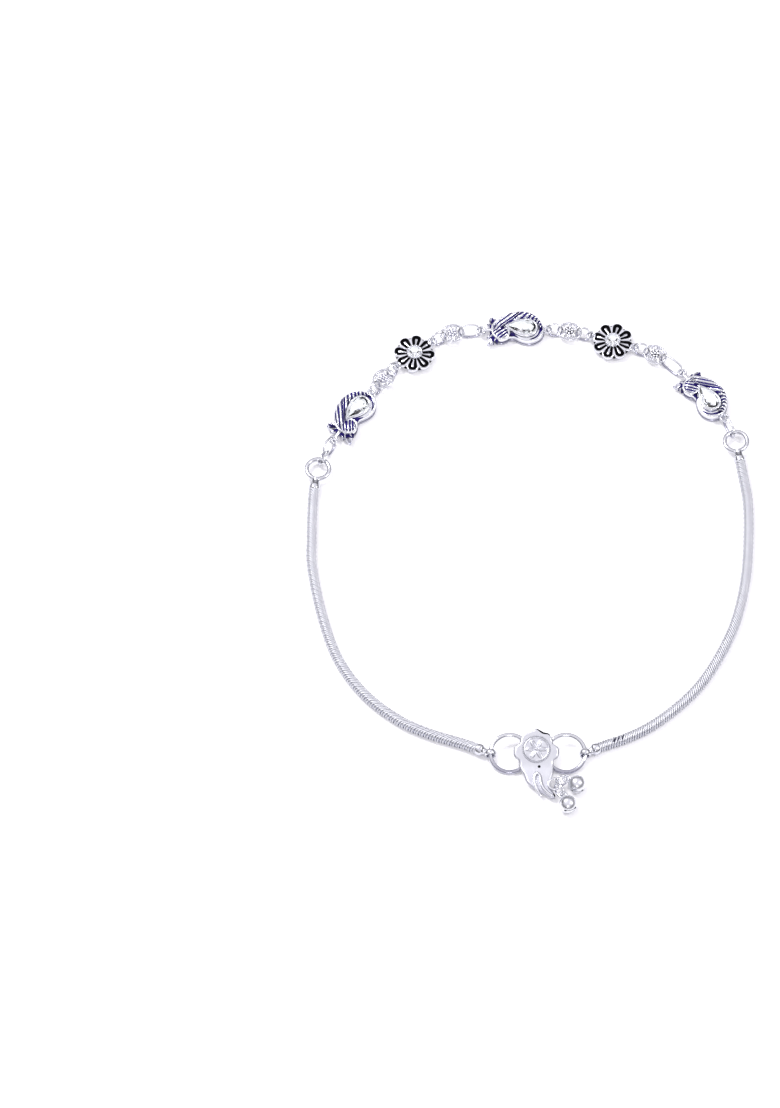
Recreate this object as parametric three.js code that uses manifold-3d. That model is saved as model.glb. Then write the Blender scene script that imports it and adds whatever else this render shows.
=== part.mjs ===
// Payal anklet: one closed loop of two foxtail chains, three paisley castings, two flowers,
// four openwork scroll links and a hooked clasp with two round bells. Millimetres, +Z up,
// lying flat, with the middle of its outline over the origin and its underside at z = 0.

import * as THREE from 'three';
import { mergeVertices } from 'three/addons/utils/BufferGeometryUtils.js';
import Module from 'manifold-3d';

const wasm = await Module();
wasm.setup();

// Jump rings and eyes: wire thickness and centreline sizes
const jumpWire = 0.45;
const jumpHalfWidth = 1.2;
const jumpRoll = 58;
const eyeWire = 0.45;
const eyeRadius = 0.7;
const linkHeight = 1.3;
const ringPlay = 0.23;
const shortRing = 2.4;
const plainRing = 2.8;
const middleRing = 4.1;
const slopedRing = 5.1;
const leftLowerRing = 3.0;
const leftUpperRing = 3.4;
const rightRing = 4.4;
const rightRoll = 75;

// Places of the row's middle and of the clasp, from the origin
const rowMiddleX = -3;
const rowMiddleY = 47;
const claspX = 0.85;
const claspY = -43.5;

// Foxtail chain
const chainWidth = 1.95;
const chainPitch = 2.6;
const chainRib = 0.1;
const chainHeight = 1.0;
const collarWidth = 2.25;
const collarLength = 1.5;
const endRingRadius = 2.1;
const endRingWire = 0.85;
const endRingHeight = 1.38;
const barrelRadius = 0.88;
const barrelWall = 0.5;
const barrelWidth = 1.1;

// Paisley casting
const paisleyLength = 9.7;
const paisleyWidth = 6.45;
const paisleyTail = 1.98;
const paisleyNose = 0.62;
const paisleyPitch = paisleyTail + paisleyLength + paisleyNose;
const paisleyWallHeight = 1.9;
const domeHeight = 0.85;
const ridgeHeight = 0.2;
const ridgeWidth = 0.38;
const scrollRadius = 1.68;
const scrollRimWire = 0.5;
const pearLength = 5.4;
const pearWidth = 3.0;
const bezelWall = 0.42;
const bezelHeight = 2.65;
const pearTurn = -6;
const stoneGap = 0.08;
const crownHeight = 0.45;
const pavilionDepth = 0.8;

// Flower casting
const flowerRadius = 3.85;
const flowerThickness = 0.95;
const flowerBase = 0.7;
const petalCount = 8;
const petalRim = 0.42;
const petalRise = 0.28;
const flowerEyeOffset = 4.2;
const roundStone = 2.1;
const settingWall = 0.38;
const settingRise = 0.55;

// Openwork scroll link
const linkPitch = 2.7;
const linkHalfWidth = 1.75;
const linkRim = 0.45;
const linkThickness = 0.5;
const linkHole = 0.78;
const holeInner = 1.0;
const curlRadius = 0.28;
const headRadius = 0.85;
const headRise = 0.25;

// Clasp
const claspRingRadius = 3.55;
const claspRingWire = 0.85;
const claspTilt = 15;
const claspRingLeft = -4.9;
const claspRingRight = 5.45;
const plateRadius = 4.2;
const plateThickness = 0.7;
const plateGap = 0.16;
const tongueLength = 9.3;
const tongueTilt = 6;
const hookWire = 0.5;
const stapleRadius = 0.8;
const stapleWire = 0.45;
const medallionRadius = 2.6;
const rosetteRadius = 1.85;

// Bells
const bellRadius = 1.68;
const bellWall = 0.3;
const bellSlit = 0.35;
const bellRingWidth = 1.9;
const bellRingWire = 0.38;
const bellEyeRadius = 1.07;
const bellLoopRadius = 0.64;
const bellRingShift = 0.46;
const bellRingShort = 2.05;
const bellRingLong = 2.5;

const metalColour = 0xdedee6;
const stoneColour = 0xe8edf5;
const silver = () => new THREE.MeshStandardMaterial({
  color: metalColour, roughness: 0.25, metalness: 1,
});
const glass = () => new THREE.MeshStandardMaterial({
  color: stoneColour, roughness: 0.05, metalness: 0,
});

const rad = THREE.MathUtils.degToRad;
const vec = (x, y, z = 0) => new THREE.Vector3(x, y, z);

// A closed body from a three.js geometry, with its shared corners joined
function body(geometry) {
  const bare = geometry.clone();
  bare.deleteAttribute('normal');
  bare.deleteAttribute('uv');
  const joined = mergeVertices(bare, 1e-4);
  const points = joined.attributes.position;
  const corners = [];
  let volume = 0;
  const [a, b, c] = [vec(0, 0), vec(0, 0), vec(0, 0)];
  for (let i = 0; i < joined.index.count; i += 3) {
    const three = [0, 1, 2].map((k) => joined.index.getX(i + k));
    if (new Set(three).size < 3) continue;
    corners.push(...three);
    a.fromBufferAttribute(points, three[0]);
    b.fromBufferAttribute(points, three[1]);
    c.fromBufferAttribute(points, three[2]);
    volume += a.dot(b.cross(c));
  }
  if (volume < 0) {
    for (let i = 0; i < corners.length; i += 3) {
      [corners[i], corners[i + 1]] = [corners[i + 1], corners[i]];
    }
  }
  return new wasm.Manifold(new wasm.Mesh({
    numProp: 3,
    vertProperties: new Float32Array(points.array),
    triVerts: new Uint32Array(corners),
  }));
}

function join(...solids) {
  return solids.reduce((whole, next) => whole.add(next));
}

// Moves a solid: turn about Z and then shift, angles in degrees
function at(solid, x, y, z = 0, turn = 0) {
  return solid.rotate([0, 0, turn]).translate([x, y, z]);
}

// A straight-sided plate from a closed outline of [x, y] corners
function plate(corners, low, high, holes = []) {
  const shape = new THREE.Shape(corners.map(([x, y]) => new THREE.Vector2(x, y)));
  for (const hole of holes) {
    shape.holes.push(new THREE.Path(hole.map(([x, y]) => new THREE.Vector2(x, y))));
  }
  const geometry = new THREE.ExtrudeGeometry(shape, {
    depth: high - low, bevelEnabled: false, curveSegments: 1,
  });
  geometry.translate(0, 0, low);
  return body(geometry);
}

// A smooth closed outline through a few corners
function smooth(corners, count) {
  const curve = new THREE.CatmullRomCurve3(corners.map(([x, y]) => vec(x, y)), true);
  return curve.getPoints(count).slice(0, count).map((p) => [p.x, p.y]);
}

function ellipse(halfLength, halfWidth, count, start = 0) {
  return Array.from({ length: count }, (_, i) => {
    const angle = start + i * 2 * Math.PI / count;
    return [halfLength * Math.cos(angle), halfWidth * Math.sin(angle)];
  });
}

// A body through rings of points: a cylinder whose rows are moved onto the rings
function loft(rings) {
  const around = rings[0].length;
  const along = rings.length - 1;
  const geometry = new THREE.CylinderGeometry(1, 1, 1, around, along, false);
  const points = geometry.attributes.position;
  for (let i = 0; i < points.count; i += 1) {
    const level = Math.round((0.5 - points.getY(i)) * along);
    const angle = Math.atan2(points.getX(i), points.getZ(i));
    const k = (Math.round(angle * around / (2 * Math.PI)) + around) % around;
    const ring = rings[level];
    const onWall = Math.hypot(points.getX(i), points.getZ(i)) > 0.5;
    const middle = ring.reduce((sum, p) => sum.add(p), vec(0, 0)).divideScalar(around);
    const spot = onWall ? ring[k] : middle;
    points.setXYZ(i, spot.x, spot.y, spot.z);
  }
  return body(geometry);
}

// An oval wire ring in the XY plane, halfLength along X, measured to the wire's middle
function wireRing(halfLength, halfWidth, wire, around = 12, sides = 5) {
  const geometry = new THREE.TorusGeometry(halfWidth, wire / 2, sides, around);
  const points = geometry.attributes.position;
  for (let i = 0; i < points.count; i += 1) {
    const angle = Math.atan2(points.getY(i), points.getX(i));
    const share = THREE.MathUtils.clamp(2.2 * Math.cos(angle), -1, 1);
    points.setX(i, points.getX(i) + (halfLength - halfWidth) * share);
  }
  return body(geometry);
}

// A wire of round section along a smooth curve through a few points
function wireAlong(points, wire, steps, sides = 6) {
  const section = new THREE.Shape(ellipse(wire / 2, wire / 2, sides)
    .map(([x, y]) => new THREE.Vector2(x, y)));
  return body(new THREE.ExtrudeGeometry(section, {
    steps, extrudePath: new THREE.CatmullRomCurve3(points), curveSegments: 1,
  }));
}

function ball(radius, around = 10, rows = 6) {
  return body(new THREE.SphereGeometry(radius, around, rows));
}

function box(x, y, z) {
  return body(new THREE.BoxGeometry(x, y, z));
}

function rod(radius, length, sides = 8) {
  const geometry = new THREE.CylinderGeometry(radius, radius, length, sides);
  geometry.rotateZ(Math.PI / 2);
  return body(geometry);
}

// Outline of a pear cut: point at the origin, round end at x = length
function pearOutline(length, width, count) {
  const widest = 0.77;
  return Array.from({ length: count }, (_, i) => {
    const angle = i * 2 * Math.PI / count;
    const across = Math.sin(angle) * Math.abs(Math.sin(angle / 2)) / widest;
    return [length * (1 - Math.cos(angle)) / 2, width / 2 * across];
  });
}

// A cut stone: flat table, crown facets, girdle and a blunt pavilion
function cutStone(outline, centre, girdle) {
  const level = (share, z) => outline.map(([x, y]) => vec(
    centre[0] + (x - centre[0]) * share, centre[1] + (y - centre[1]) * share, z,
  ));
  return loft([
    level(0.3, girdle - pavilionDepth),
    level(1, girdle - 0.05),
    level(1, girdle + 0.05),
    level(0.62, girdle + crownHeight),
  ]);
}

// Paisley: outline corners as shares of its length from the tail and of its width from the axis
const paisleyOutline = [
  { along: 0.0, across: -0.11 },
  { along: 0.03, across: 0.09 },
  { along: 0.1, across: 0.26 },
  { along: 0.23, across: 0.43 },
  { along: 0.39, across: 0.54 },
  { along: 0.54, across: 0.567 },
  { along: 0.675, across: 0.545 },
  { along: 0.79, across: 0.465 },
  { along: 0.89, across: 0.325 },
  { along: 0.96, across: 0.17 },
  { along: 1.0, across: 0.0 },
  { along: 0.985, across: -0.17 },
  { along: 0.9, across: -0.335 },
  { along: 0.76, across: -0.425 },
  { along: 0.625, across: -0.41 },
  { along: 0.51, across: -0.34 },
  { along: 0.42, across: -0.27 },
  { along: 0.335, across: -0.28 },
  { along: 0.285, across: -0.335 },
  { along: 0.17, across: -0.38 },
  { along: 0.06, across: -0.295 },
];

// Domed back: its inner and outer edges from the curled tail to the nose, in the same shares
const domeSections = [
  { inAlong: 0.17, inAcross: -0.1, outAlong: 0.03, outAcross: -0.05 },
  { inAlong: 0.24, inAcross: 0.02, outAlong: 0.08, outAcross: 0.2 },
  { inAlong: 0.36, inAcross: 0.17, outAlong: 0.3, outAcross: 0.475 },
  { inAlong: 0.55, inAcross: 0.29, outAlong: 0.56, outAcross: 0.555 },
  { inAlong: 0.75, inAcross: 0.27, outAlong: 0.82, outAcross: 0.425 },
  { inAlong: 0.87, inAcross: 0.13, outAlong: 0.955, outAcross: 0.17 },
  { inAlong: 0.9, inAcross: -0.03, outAlong: 0.975, outAcross: -0.05 },
];

// Pointed leaves of the calyx behind the curled tail: root and tip
const calyxLeaves = [
  { rootAlong: 0.1, rootAcross: 0.16, tipAlong: -0.06, tipAcross: 0.33 },
  { rootAlong: 0.06, rootAcross: 0.06, tipAlong: -0.1, tipAcross: 0.17 },
  { rootAlong: 0.06, rootAcross: -0.2, tipAlong: -0.085, tipAcross: -0.22 },
  { rootAlong: 0.12, rootAcross: -0.28, tipAlong: 0.02, tipAcross: -0.5 },
];
const leafHalfWidth = 0.55;
const leafHeight = 1.45;
const ridgeCount = 13;
const ridgeTurnTail = 38;
const ridgeTurnNose = 52;

const paisleyX = (along) => paisleyTail + along * paisleyLength;
const paisleyY = (across) => across * paisleyWidth;

function domeBody(rise, low, high) {
  const rings = domeSections.map((row, i) => {
    const inner = vec(paisleyX(row.inAlong), paisleyY(row.inAcross));
    const outer = vec(paisleyX(row.outAlong), paisleyY(row.outAcross));
    const taper = i === domeSections.length - 1 ? 0.35 : 1;
    const spot = (share, z) => {
      const p = inner.clone().lerp(outer, share);
      return vec(p.x, p.y, z);
    };
    return [
      spot(0, low), spot(0, high), spot(0.3, high + rise * taper),
      spot(0.7, high + rise * taper), spot(1, high), spot(1, low),
    ];
  });
  return loft(rings);
}

function flatEye(x, y = 0) {
  return at(wireRing(eyeRadius, eyeRadius, eyeWire, 9, 5), x, y, linkHeight);
}

// Where the pear setting's point lies, and how it is turned
const pearTip = { along: 0.235, across: 0.05 };

function pearPlaced(solid) {
  return at(solid, paisleyX(pearTip.along), paisleyY(pearTip.across), 0, pearTurn);
}

function paisley() {
  const outline = paisleyOutline.map((row) => [paisleyX(row.along), paisleyY(row.across)]);
  let casting = plate(smooth(outline, 26), 0, paisleyWallHeight);

  const settingLength = pearLength + 2 * bezelWall + 0.12;
  const setting = pearPlaced(plate(
    pearOutline(settingLength, pearWidth + 2 * bezelWall, 14), 0, bezelHeight,
  ));
  const low = paisleyWallHeight - 0.6;
  const dome = domeBody(domeHeight, low, paisleyWallHeight);
  const crest = domeBody(domeHeight + ridgeHeight, low, paisleyWallHeight + 0.08);

  const middles = domeSections.map((row) => vec(
    paisleyX((row.inAlong + row.outAlong) / 2), paisleyY((row.inAcross + row.outAcross) / 2),
  ));
  const spine = new THREE.CatmullRomCurve3(middles);
  let ridges = null;
  for (let i = 0; i < ridgeCount; i += 1) {
    const share = (i + 0.5) / ridgeCount;
    const p = spine.getPointAt(share);
    const turn = THREE.MathUtils.lerp(ridgeTurnTail, ridgeTurnNose, share);
    const bar = at(box(8, ridgeWidth, 4), p.x, p.y, paisleyWallHeight + 1, turn);
    ridges = ridges ? ridges.add(bar) : bar;
  }
  const scrollX = paisleyX(0.17);
  const scrollY = paisleyY(-0.116);
  const scrollBed = plate(
    ellipse(scrollRadius - 0.3, scrollRadius - 0.3, 8).map(([x, y]) => [x + scrollX, y + scrollY]),
    low, paisleyWallHeight + 0.35,
  );
  casting = join(casting, dome, crest.add(scrollBed).intersect(ridges), setting);

  // Polished wire that edges the curled tail
  const rimReach = scrollRadius - scrollRimWire / 2;
  const rim = [150, 190, 230, 270, 310, 350, 385].map((angle) => vec(
    scrollX + rimReach * Math.cos(rad(angle)),
    scrollY + rimReach * Math.sin(rad(angle)),
    paisleyWallHeight + 0.12,
  ));
  casting = casting.add(wireAlong(rim, scrollRimWire, 7, 4));

  // Leaf rim at the nose
  const noseLeaf = [[0.975, 0.02], [0.96, -0.16], [0.88, -0.3], [0.76, -0.385], [0.66, -0.37]];
  casting = casting.add(wireAlong(noseLeaf.map(([along, across]) => vec(
    paisleyX(along), paisleyY(across), paisleyWallHeight + 0.02,
  )), 0.34, 5, 4));

  // Recess between the curled tail and the setting
  const recess = plate([
    [paisleyX(0.345), paisleyY(-0.06)],
    [paisleyX(0.36), paisleyY(-0.235)],
    [paisleyX(0.45), paisleyY(-0.255)],
  ], paisleyWallHeight - 0.5, paisleyWallHeight + 0.3);
  casting = casting.subtract(recess);

  for (const leaf of calyxLeaves) {
    const root = vec(paisleyX(leaf.rootAlong), paisleyY(leaf.rootAcross));
    const tip = vec(paisleyX(leaf.tipAlong), paisleyY(leaf.tipAcross));
    const side = tip.clone().sub(root).normalize().multiplyScalar(leafHalfWidth);
    casting = casting.add(loft([
      [vec(root.x - side.y, root.y + side.x, 0.4), vec(root.x + side.y, root.y - side.x, 0.4),
        vec(root.x + side.y, root.y - side.x, leafHeight), vec(root.x, root.y, leafHeight + 0.25),
        vec(root.x - side.y, root.y + side.x, leafHeight)],
      [0, 1, 2, 3, 4].map((k) => vec(
        tip.x + 0.06 * Math.cos(k * 1.2566), tip.y + 0.06 * Math.sin(k * 1.2566), 0.9,
      )),
    ]));
  }

  // Necks and eyes at both ends
  const tailNeck = paisleyTail - eyeRadius;
  casting = join(
    casting,
    at(rod(0.36, tailNeck + 0.4), eyeRadius + tailNeck / 2 + 0.2, 0, linkHeight),
    flatEye(0), flatEye(paisleyPitch),
  );

  // Cup for the stone, open at the top
  const pocket = plate(
    pearOutline(pearLength, pearWidth, 14).map(([x, y]) => [x + bezelWall * 1.25, y]),
    bezelHeight - 1.15, bezelHeight + 1,
  );
  return casting.subtract(pearPlaced(pocket));
}

function pearStone() {
  const inset = 2 * stoneGap;
  const outline = pearOutline(pearLength - 2 * inset, pearWidth - 2 * stoneGap, 14);
  const stone = cutStone(outline, [pearLength * 0.55, 0], bezelHeight - 0.12);
  return pearPlaced(stone.translate([bezelWall * 1.25 + inset, 0, 0]));
}

// Flower: a petal is a rounded tongue with a raised rim and a raised middle rib
function flower() {
  const lobes = [];
  const rimRoot = 1.25;
  const petalHalf = flowerRadius * Math.sin(Math.PI / petalCount) * 0.93;
  const tipCentre = flowerRadius - petalHalf;
  const petal = (inset) => {
    const half = petalHalf - inset;
    const corners = [[rimRoot + inset, -0.42 * half]];
    for (let i = 0; i <= 3; i += 1) {
      const angle = -Math.PI / 2 + i * Math.PI / 3;
      corners.push([tipCentre + half * Math.cos(angle), half * Math.sin(angle)]);
    }
    corners.push([rimRoot + inset, 0.42 * half]);
    return corners;
  };
  const top = flowerBase + flowerThickness;
  let casting = body(new THREE.CylinderGeometry(2.2, 2.2, flowerThickness - 0.4, petalCount)
    .rotateX(Math.PI / 2)).translate([0, 0, flowerBase + (flowerThickness - 0.4) / 2]);
  for (let i = 0; i < petalCount; i += 1) {
    const turn = i * 360 / petalCount;
    const rim = plate(petal(0), flowerBase, top)
      .subtract(plate(petal(petalRim), top - petalRise, top + 1));
    const rib = at(box(1.3, 0.4, flowerThickness), 2.4, 0, flowerBase + flowerThickness / 2);
    lobes.push(rim.add(rib).rotate([0, 0, turn]));
  }
  casting = join(casting, ...lobes);
  const cup = body(new THREE.CylinderGeometry(
    roundStone / 2 + settingWall, roundStone / 2 + settingWall + 0.1,
    flowerThickness + settingRise, 12,
  ).rotateX(Math.PI / 2)).translate([0, 0, flowerBase + (flowerThickness + settingRise) / 2]);
  const pocket = body(new THREE.CylinderGeometry(
    roundStone / 2, roundStone / 2, 2, 12,
  ).rotateX(Math.PI / 2)).translate([0, 0, top + settingRise - 1.0 + 1]);
  casting = join(
    casting, cup,
    flatEye(-flowerEyeOffset), flatEye(flowerEyeOffset),
  );
  return casting.subtract(pocket);
}

function roundStoneSolid() {
  const outline = ellipse(roundStone / 2 - stoneGap, roundStone / 2 - stoneGap, 12, Math.PI / 2);
  return cutStone(outline, [0, 0], flowerBase + flowerThickness + settingRise - 0.1);
}

// Openwork link: an oval plate pierced by two ring holes and four curls, with a flower head
function scrollLink() {
  const halfLength = linkPitch / 2 + linkHole;
  const low = linkHeight - linkThickness / 2;
  const high = linkHeight + linkThickness / 2;
  const outer = ellipse(halfLength + linkRim / 2, linkHalfWidth + linkRim / 2, 16);
  const holes = [];
  for (const end of [-1, 1]) {
    const rim = [-52, -26, 0, 26, 52].map((angle) => [
      end * (halfLength - linkRim / 2) * Math.cos(rad(angle)),
      (linkHalfWidth - linkRim / 2) * Math.sin(rad(angle)),
    ]);
    holes.push([[end * holeInner, -0.5 * linkHalfWidth], ...rim, [end * holeInner, 0.5 * linkHalfWidth]]);
    for (const side of [-1, 1]) {
      holes.push(ellipse(curlRadius, curlRadius, 6)
        .map(([x, y]) => [x + end * 0.48, y + side * 0.62 * linkHalfWidth]));
    }
  }
  const head = Array.from({ length: 12 }, (_, i) => {
    const angle = i * Math.PI / 6;
    const reach = headRadius * (i % 2 === 0 ? 0.62 : 1);
    return [reach * Math.cos(angle), reach * Math.sin(angle)];
  });
  return join(
    plate(outer, low, high, holes),
    plate(head, high - 0.1, high + headRise),
    ball(0.36, 6, 3).translate([0, 0, high + headRise]),
  );
}

// Foxtail chain along its route, with a ribbed square section, end caps, ring and barrel eye
function foxtail(route) {
  const length = route.getLength();
  const bareStart = endRingRadius + 0.6;
  const bareEnd = barrelRadius + barrelWall + collarLength * 0.7;
  const cells = Math.round((length - bareStart - bareEnd) / chainPitch);
  const frame = (distance) => {
    const share = THREE.MathUtils.clamp(distance / length, 0, 1);
    const middle = route.getPointAt(share);
    const ahead = route.getTangentAt(share);
    const side = vec(0, 0, 1).cross(ahead).normalize();
    return { middle, ahead, side, up: ahead.clone().cross(side) };
  };
  const ring = (distance, width) => {
    const { middle, side, up } = frame(distance);
    return Array.from({ length: 8 }, (_, k) => {
      const angle = k * Math.PI / 4;
      const reach = width / 2 * (k % 2 === 0 ? 0.94 : 1.06);
      return middle.clone().addScaledVector(side, reach * Math.cos(angle))
        .addScaledVector(up, reach * Math.sin(angle));
    });
  };
  const rings = [];
  const step = (length - bareStart - bareEnd) / cells;
  for (let i = 0; i <= 2 * cells; i += 1) {
    const width = i % 2 === 0 ? chainWidth - 2 * chainRib : chainWidth;
    rings.push(ring(bareStart + i * step / 2, width));
  }
  const capRow = (distance, share) => ring(distance, collarWidth * share);
  const startCap = loft([
    capRow(endRingRadius, 0.5), capRow(endRingRadius + 0.5, 0.8),
    capRow(endRingRadius + 1.9, 0.96),
  ]);
  const back = length - barrelRadius - barrelWall / 2;
  const endCap = loft([
    capRow(back - collarLength - 0.1, 0.92), capRow(back - collarLength / 2, 1.04),
    capRow(back - 0.25, 0.72), capRow(back + 0.15, 0.5),
  ]);
  const top = route.getPointAt(0);
  const endRing = wireRing(endRingRadius, endRingRadius, endRingWire, 16, 6)
    .translate([top.x, top.y, top.z]);
  return { parts: [loft(rings), startCap, endCap, endRing] };
}

// Barrel eye that turns about a clasp ring's wire: its hole runs along Y
function barrelEye() {
  const geometry = new THREE.TorusGeometry(barrelRadius, barrelWall / 2, 6, 10);
  geometry.scale(1, 1, barrelWidth / barrelWall);
  geometry.rotateX(Math.PI / 2);
  return body(geometry);
}

// Clasp plate outline about the medallion's middle: degrees and shares of the plate's radius
const plateOutline = [
  { angle: 0, reach: 1.0 },
  { angle: 14, reach: 0.97 },
  { angle: 27, reach: 0.84 },
  { angle: 42, reach: 0.94 },
  { angle: 56, reach: 0.98 },
  { angle: 70, reach: 0.9 },
  { angle: 90, reach: 1.08 },
  { angle: 110, reach: 0.92 },
  { angle: 124, reach: 0.98 },
  { angle: 138, reach: 0.94 },
  { angle: 153, reach: 0.84 },
  { angle: 166, reach: 0.97 },
  { angle: 180, reach: 1.0 },
  { angle: 194, reach: 0.97 },
  { angle: 205, reach: 0.86 },
  { angle: 218, reach: 0.95 },
  { angle: 232, reach: 1.0 },
  { angle: 270, reach: 0.95 },
  { angle: 308, reach: 1.0 },
  { angle: 322, reach: 0.95 },
  { angle: 335, reach: 0.86 },
  { angle: 346, reach: 0.97 },
];

// Leaf-shaped tongue below the plate: shares of its length down and sideways
const tongueOutline = [
  { down: 0.3, side: -0.34 },
  { down: 0.37, side: -0.31 },
  { down: 0.45, side: -0.26 },
  { down: 0.54, side: -0.225 },
  { down: 0.63, side: -0.19 },
  { down: 0.72, side: -0.1 },
  { down: 0.79, side: 0 },
  { down: 0.84, side: 0.09 },
  { down: 0.9, side: 0.18 },
  { down: 0.965, side: 0.27 },
  { down: 0.975, side: 0.36 },
  { down: 0.9, side: 0.37 },
  { down: 0.82, side: 0.32 },
  { down: 0.74, side: 0.28 },
  { down: 0.65, side: 0.27 },
  { down: 0.55, side: 0.3 },
  { down: 0.44, side: 0.33 },
  { down: 0.3, side: 0.34 },
];

const bellEye = { side: 0.352, down: 0.68 };

// The tongue is bent up from the plate about the line where it leaves the plate
function tongueFold() {
  const fold = 0.3 * tongueLength;
  const low = claspRingWire / 2 + plateGap;
  return new THREE.Matrix4().makeTranslation(0, -fold, low)
    .multiply(new THREE.Matrix4().makeRotationX(rad(tongueTilt - claspTilt)))
    .multiply(new THREE.Matrix4().makeTranslation(0, fold, -low));
}

// Clasp plate in the frame of its two rings: their wires' middles lie at z = 0
function claspPlate() {
  const low = claspRingWire / 2 + plateGap;
  const outline = plateOutline.map(({ angle, reach }) => [
    plateRadius * reach * Math.cos(rad(angle)), plateRadius * reach * Math.sin(rad(angle)),
  ]);
  let casting = plate(outline, low, low + plateThickness);
  const medal = at(body(new THREE.CylinderGeometry(
    medallionRadius - 0.3, medallionRadius, 0.2, 16,
  ).rotateX(Math.PI / 2)), 0, 0, low + plateThickness + 0.05);
  const beading = at(
    wireRing(medallionRadius, medallionRadius, 0.4, 16, 4), 0, 0, low + plateThickness,
  );
  casting = join(casting, medal, beading);
  const rosette = Array.from({ length: 12 }, (_, i) => {
    const reach = i % 2 === 0 ? rosetteRadius : rosetteRadius * 0.55;
    return [reach * Math.cos(i * Math.PI / 6), reach * Math.sin(i * Math.PI / 6)];
  });
  casting = join(
    casting, plate(rosette, low + 0.2, low + plateThickness + 0.28),
    ball(0.5, 6, 4).translate([0, 0, low + plateThickness + 0.25]),
  );

  // Staple that holds the left ring, and the open hook for the right one
  const turnUp = (solid) => solid.rotate([90, 0, 0]);
  const staple = turnUp(wireRing(stapleRadius, stapleRadius, stapleWire, 10, 5));
  const hookCut = at(box(0.8, 1.4, 0.8), stapleRadius, 0, -0.25);
  casting = casting.add(staple.translate([claspRingLeft + claspRingRadius, 0, 0]));
  casting = casting.add(staple.subtract(hookCut)
    .translate([claspRingRight - claspRingRadius, 0, 0]));

  // Tongue with its two hook wires, in a plane that turns up a little from the plate's
  const leaf = tongueOutline.map(({ down, side }) => [side * tongueLength, -down * tongueLength]);
  let tongue = plate(leaf, low, low + plateThickness);
  const wireZ = low + plateThickness + hookWire * 0.3;
  const spot = (side, down, z = wireZ) => vec(side * tongueLength, -down * tongueLength, z);
  const bore = at(body(new THREE.CylinderGeometry(0.22, 0.22, 3, 8).rotateX(Math.PI / 2)),
    0.35, -0.345 * tongueLength, low);
  tongue = join(
    tongue,
    wireAlong([
      spot(0.02, 0.44), spot(-0.07, 0.5), spot(-0.09, 0.62), spot(-0.05, 0.77),
      spot(0.07, 0.92, wireZ - 0.1),
    ], hookWire, 7, 5),
    wireAlong([
      spot(-0.02, 0.44), spot(0.06, 0.5), spot(0.05, 0.62), spot(0.1, 0.74),
      spot(0.16, 0.82), spot(0.23, 0.88),
    ], hookWire, 7, 5),
    at(wireRing(bellEyeRadius, bellEyeRadius, 0.45, 10, 5),
      bellEye.side * tongueLength, -bellEye.down * tongueLength, wireZ),
  );
  const eyeHole = at(body(new THREE.CylinderGeometry(
    bellEyeRadius - 0.24, bellEyeRadius - 0.24, 5, 10,
  ).rotateX(Math.PI / 2)), bellEye.side * tongueLength, -bellEye.down * tongueLength, 0);
  tongue = tongue.subtract(eyeHole);
  return casting.add(tongue.transform(tongueFold().elements)).subtract(bore);
}

// Round bell lying on its side: loop at the origin, body along +X, slit at the far end
function bell() {
  const centre = bellRadius + bellLoopRadius + 0.12 - eyeWire / 2;
  const shell = ball(bellRadius, 12, 8).subtract(ball(bellRadius - bellWall, 8, 5));
  const slit = at(box(bellRadius * 1.6, 2 * bellRadius * 0.62, bellSlit), bellRadius, 0, 0);
  const hollow = shell.subtract(slit).translate([centre, 0, 0]);
  return hollow.add(wireRing(bellLoopRadius, bellLoopRadius, eyeWire, 9, 5));
}

const anklet = new THREE.Group();

// Adds a solid to the anklet as a named mesh, at a point and heading
function add(name, solid, material, position = vec(0, 0), heading = 0, parent = anklet) {
  const got = solid.getMesh();
  const geometry = new THREE.BufferGeometry();
  geometry.setAttribute('position', new THREE.BufferAttribute(new Float32Array(
    got.vertProperties,
  ), 3));
  geometry.setIndex(new THREE.BufferAttribute(new Uint32Array(got.triVerts), 1));
  geometry.computeVertexNormals();
  const mesh = new THREE.Mesh(geometry, material);
  mesh.name = name;
  mesh.position.copy(position);
  mesh.rotation.z = rad(heading);
  parent.add(mesh);
  return mesh;
}

// The ornament row from left to right: each piece's length between its eyes, and its heading
const row = [
  { piece: 'ring_left_lower', length: leftLowerRing, heading: 68, roll: -jumpRoll },
  { piece: 'ring_left_upper', length: leftUpperRing, heading: 62, roll: jumpRoll },
  { piece: 'paisley_1', length: paisleyPitch, heading: 55 },
  { piece: 'ring_a1', length: shortRing, heading: 54, roll: jumpRoll },
  { piece: 'scroll_link_a', length: linkPitch, heading: 52 },
  { piece: 'ring_a2', length: shortRing, heading: 48, roll: jumpRoll },
  { piece: 'flower_1', length: 2 * flowerEyeOffset, heading: 38 },
  { piece: 'ring_b1', length: plainRing, heading: 30, roll: jumpRoll },
  { piece: 'scroll_link_b', length: linkPitch, heading: 17 },
  { piece: 'ring_b2', length: middleRing, heading: 3, roll: jumpRoll },
  { piece: 'paisley_2', length: paisleyPitch, heading: 1 },
  { piece: 'ring_c1', length: plainRing, heading: -4, roll: jumpRoll },
  { piece: 'scroll_link_c', length: linkPitch, heading: -9 },
  { piece: 'ring_c2', length: plainRing, heading: -14, roll: jumpRoll },
  { piece: 'flower_2', length: 2 * flowerEyeOffset, heading: -18 },
  { piece: 'ring_d1', length: plainRing, heading: -17, roll: jumpRoll },
  { piece: 'scroll_link_d', length: linkPitch, heading: -28 },
  { piece: 'ring_d2', length: slopedRing, heading: -42, roll: jumpRoll },
  { piece: 'paisley_3', length: paisleyPitch, heading: -51 },
  { piece: 'ring_right', length: rightRing, heading: -66, roll: rightRoll },
];
const rowMiddle = vec(rowMiddleX, rowMiddleY);
const middlePiece = 'paisley_2';

// Two rings in a row pass through each other, so their ends overlap by this much
const ringOverlap = jumpWire + ringPlay;
const reachInEndRing = endRingRadius - endRingWire / 2 - jumpWire / 2 - ringPlay;

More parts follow.
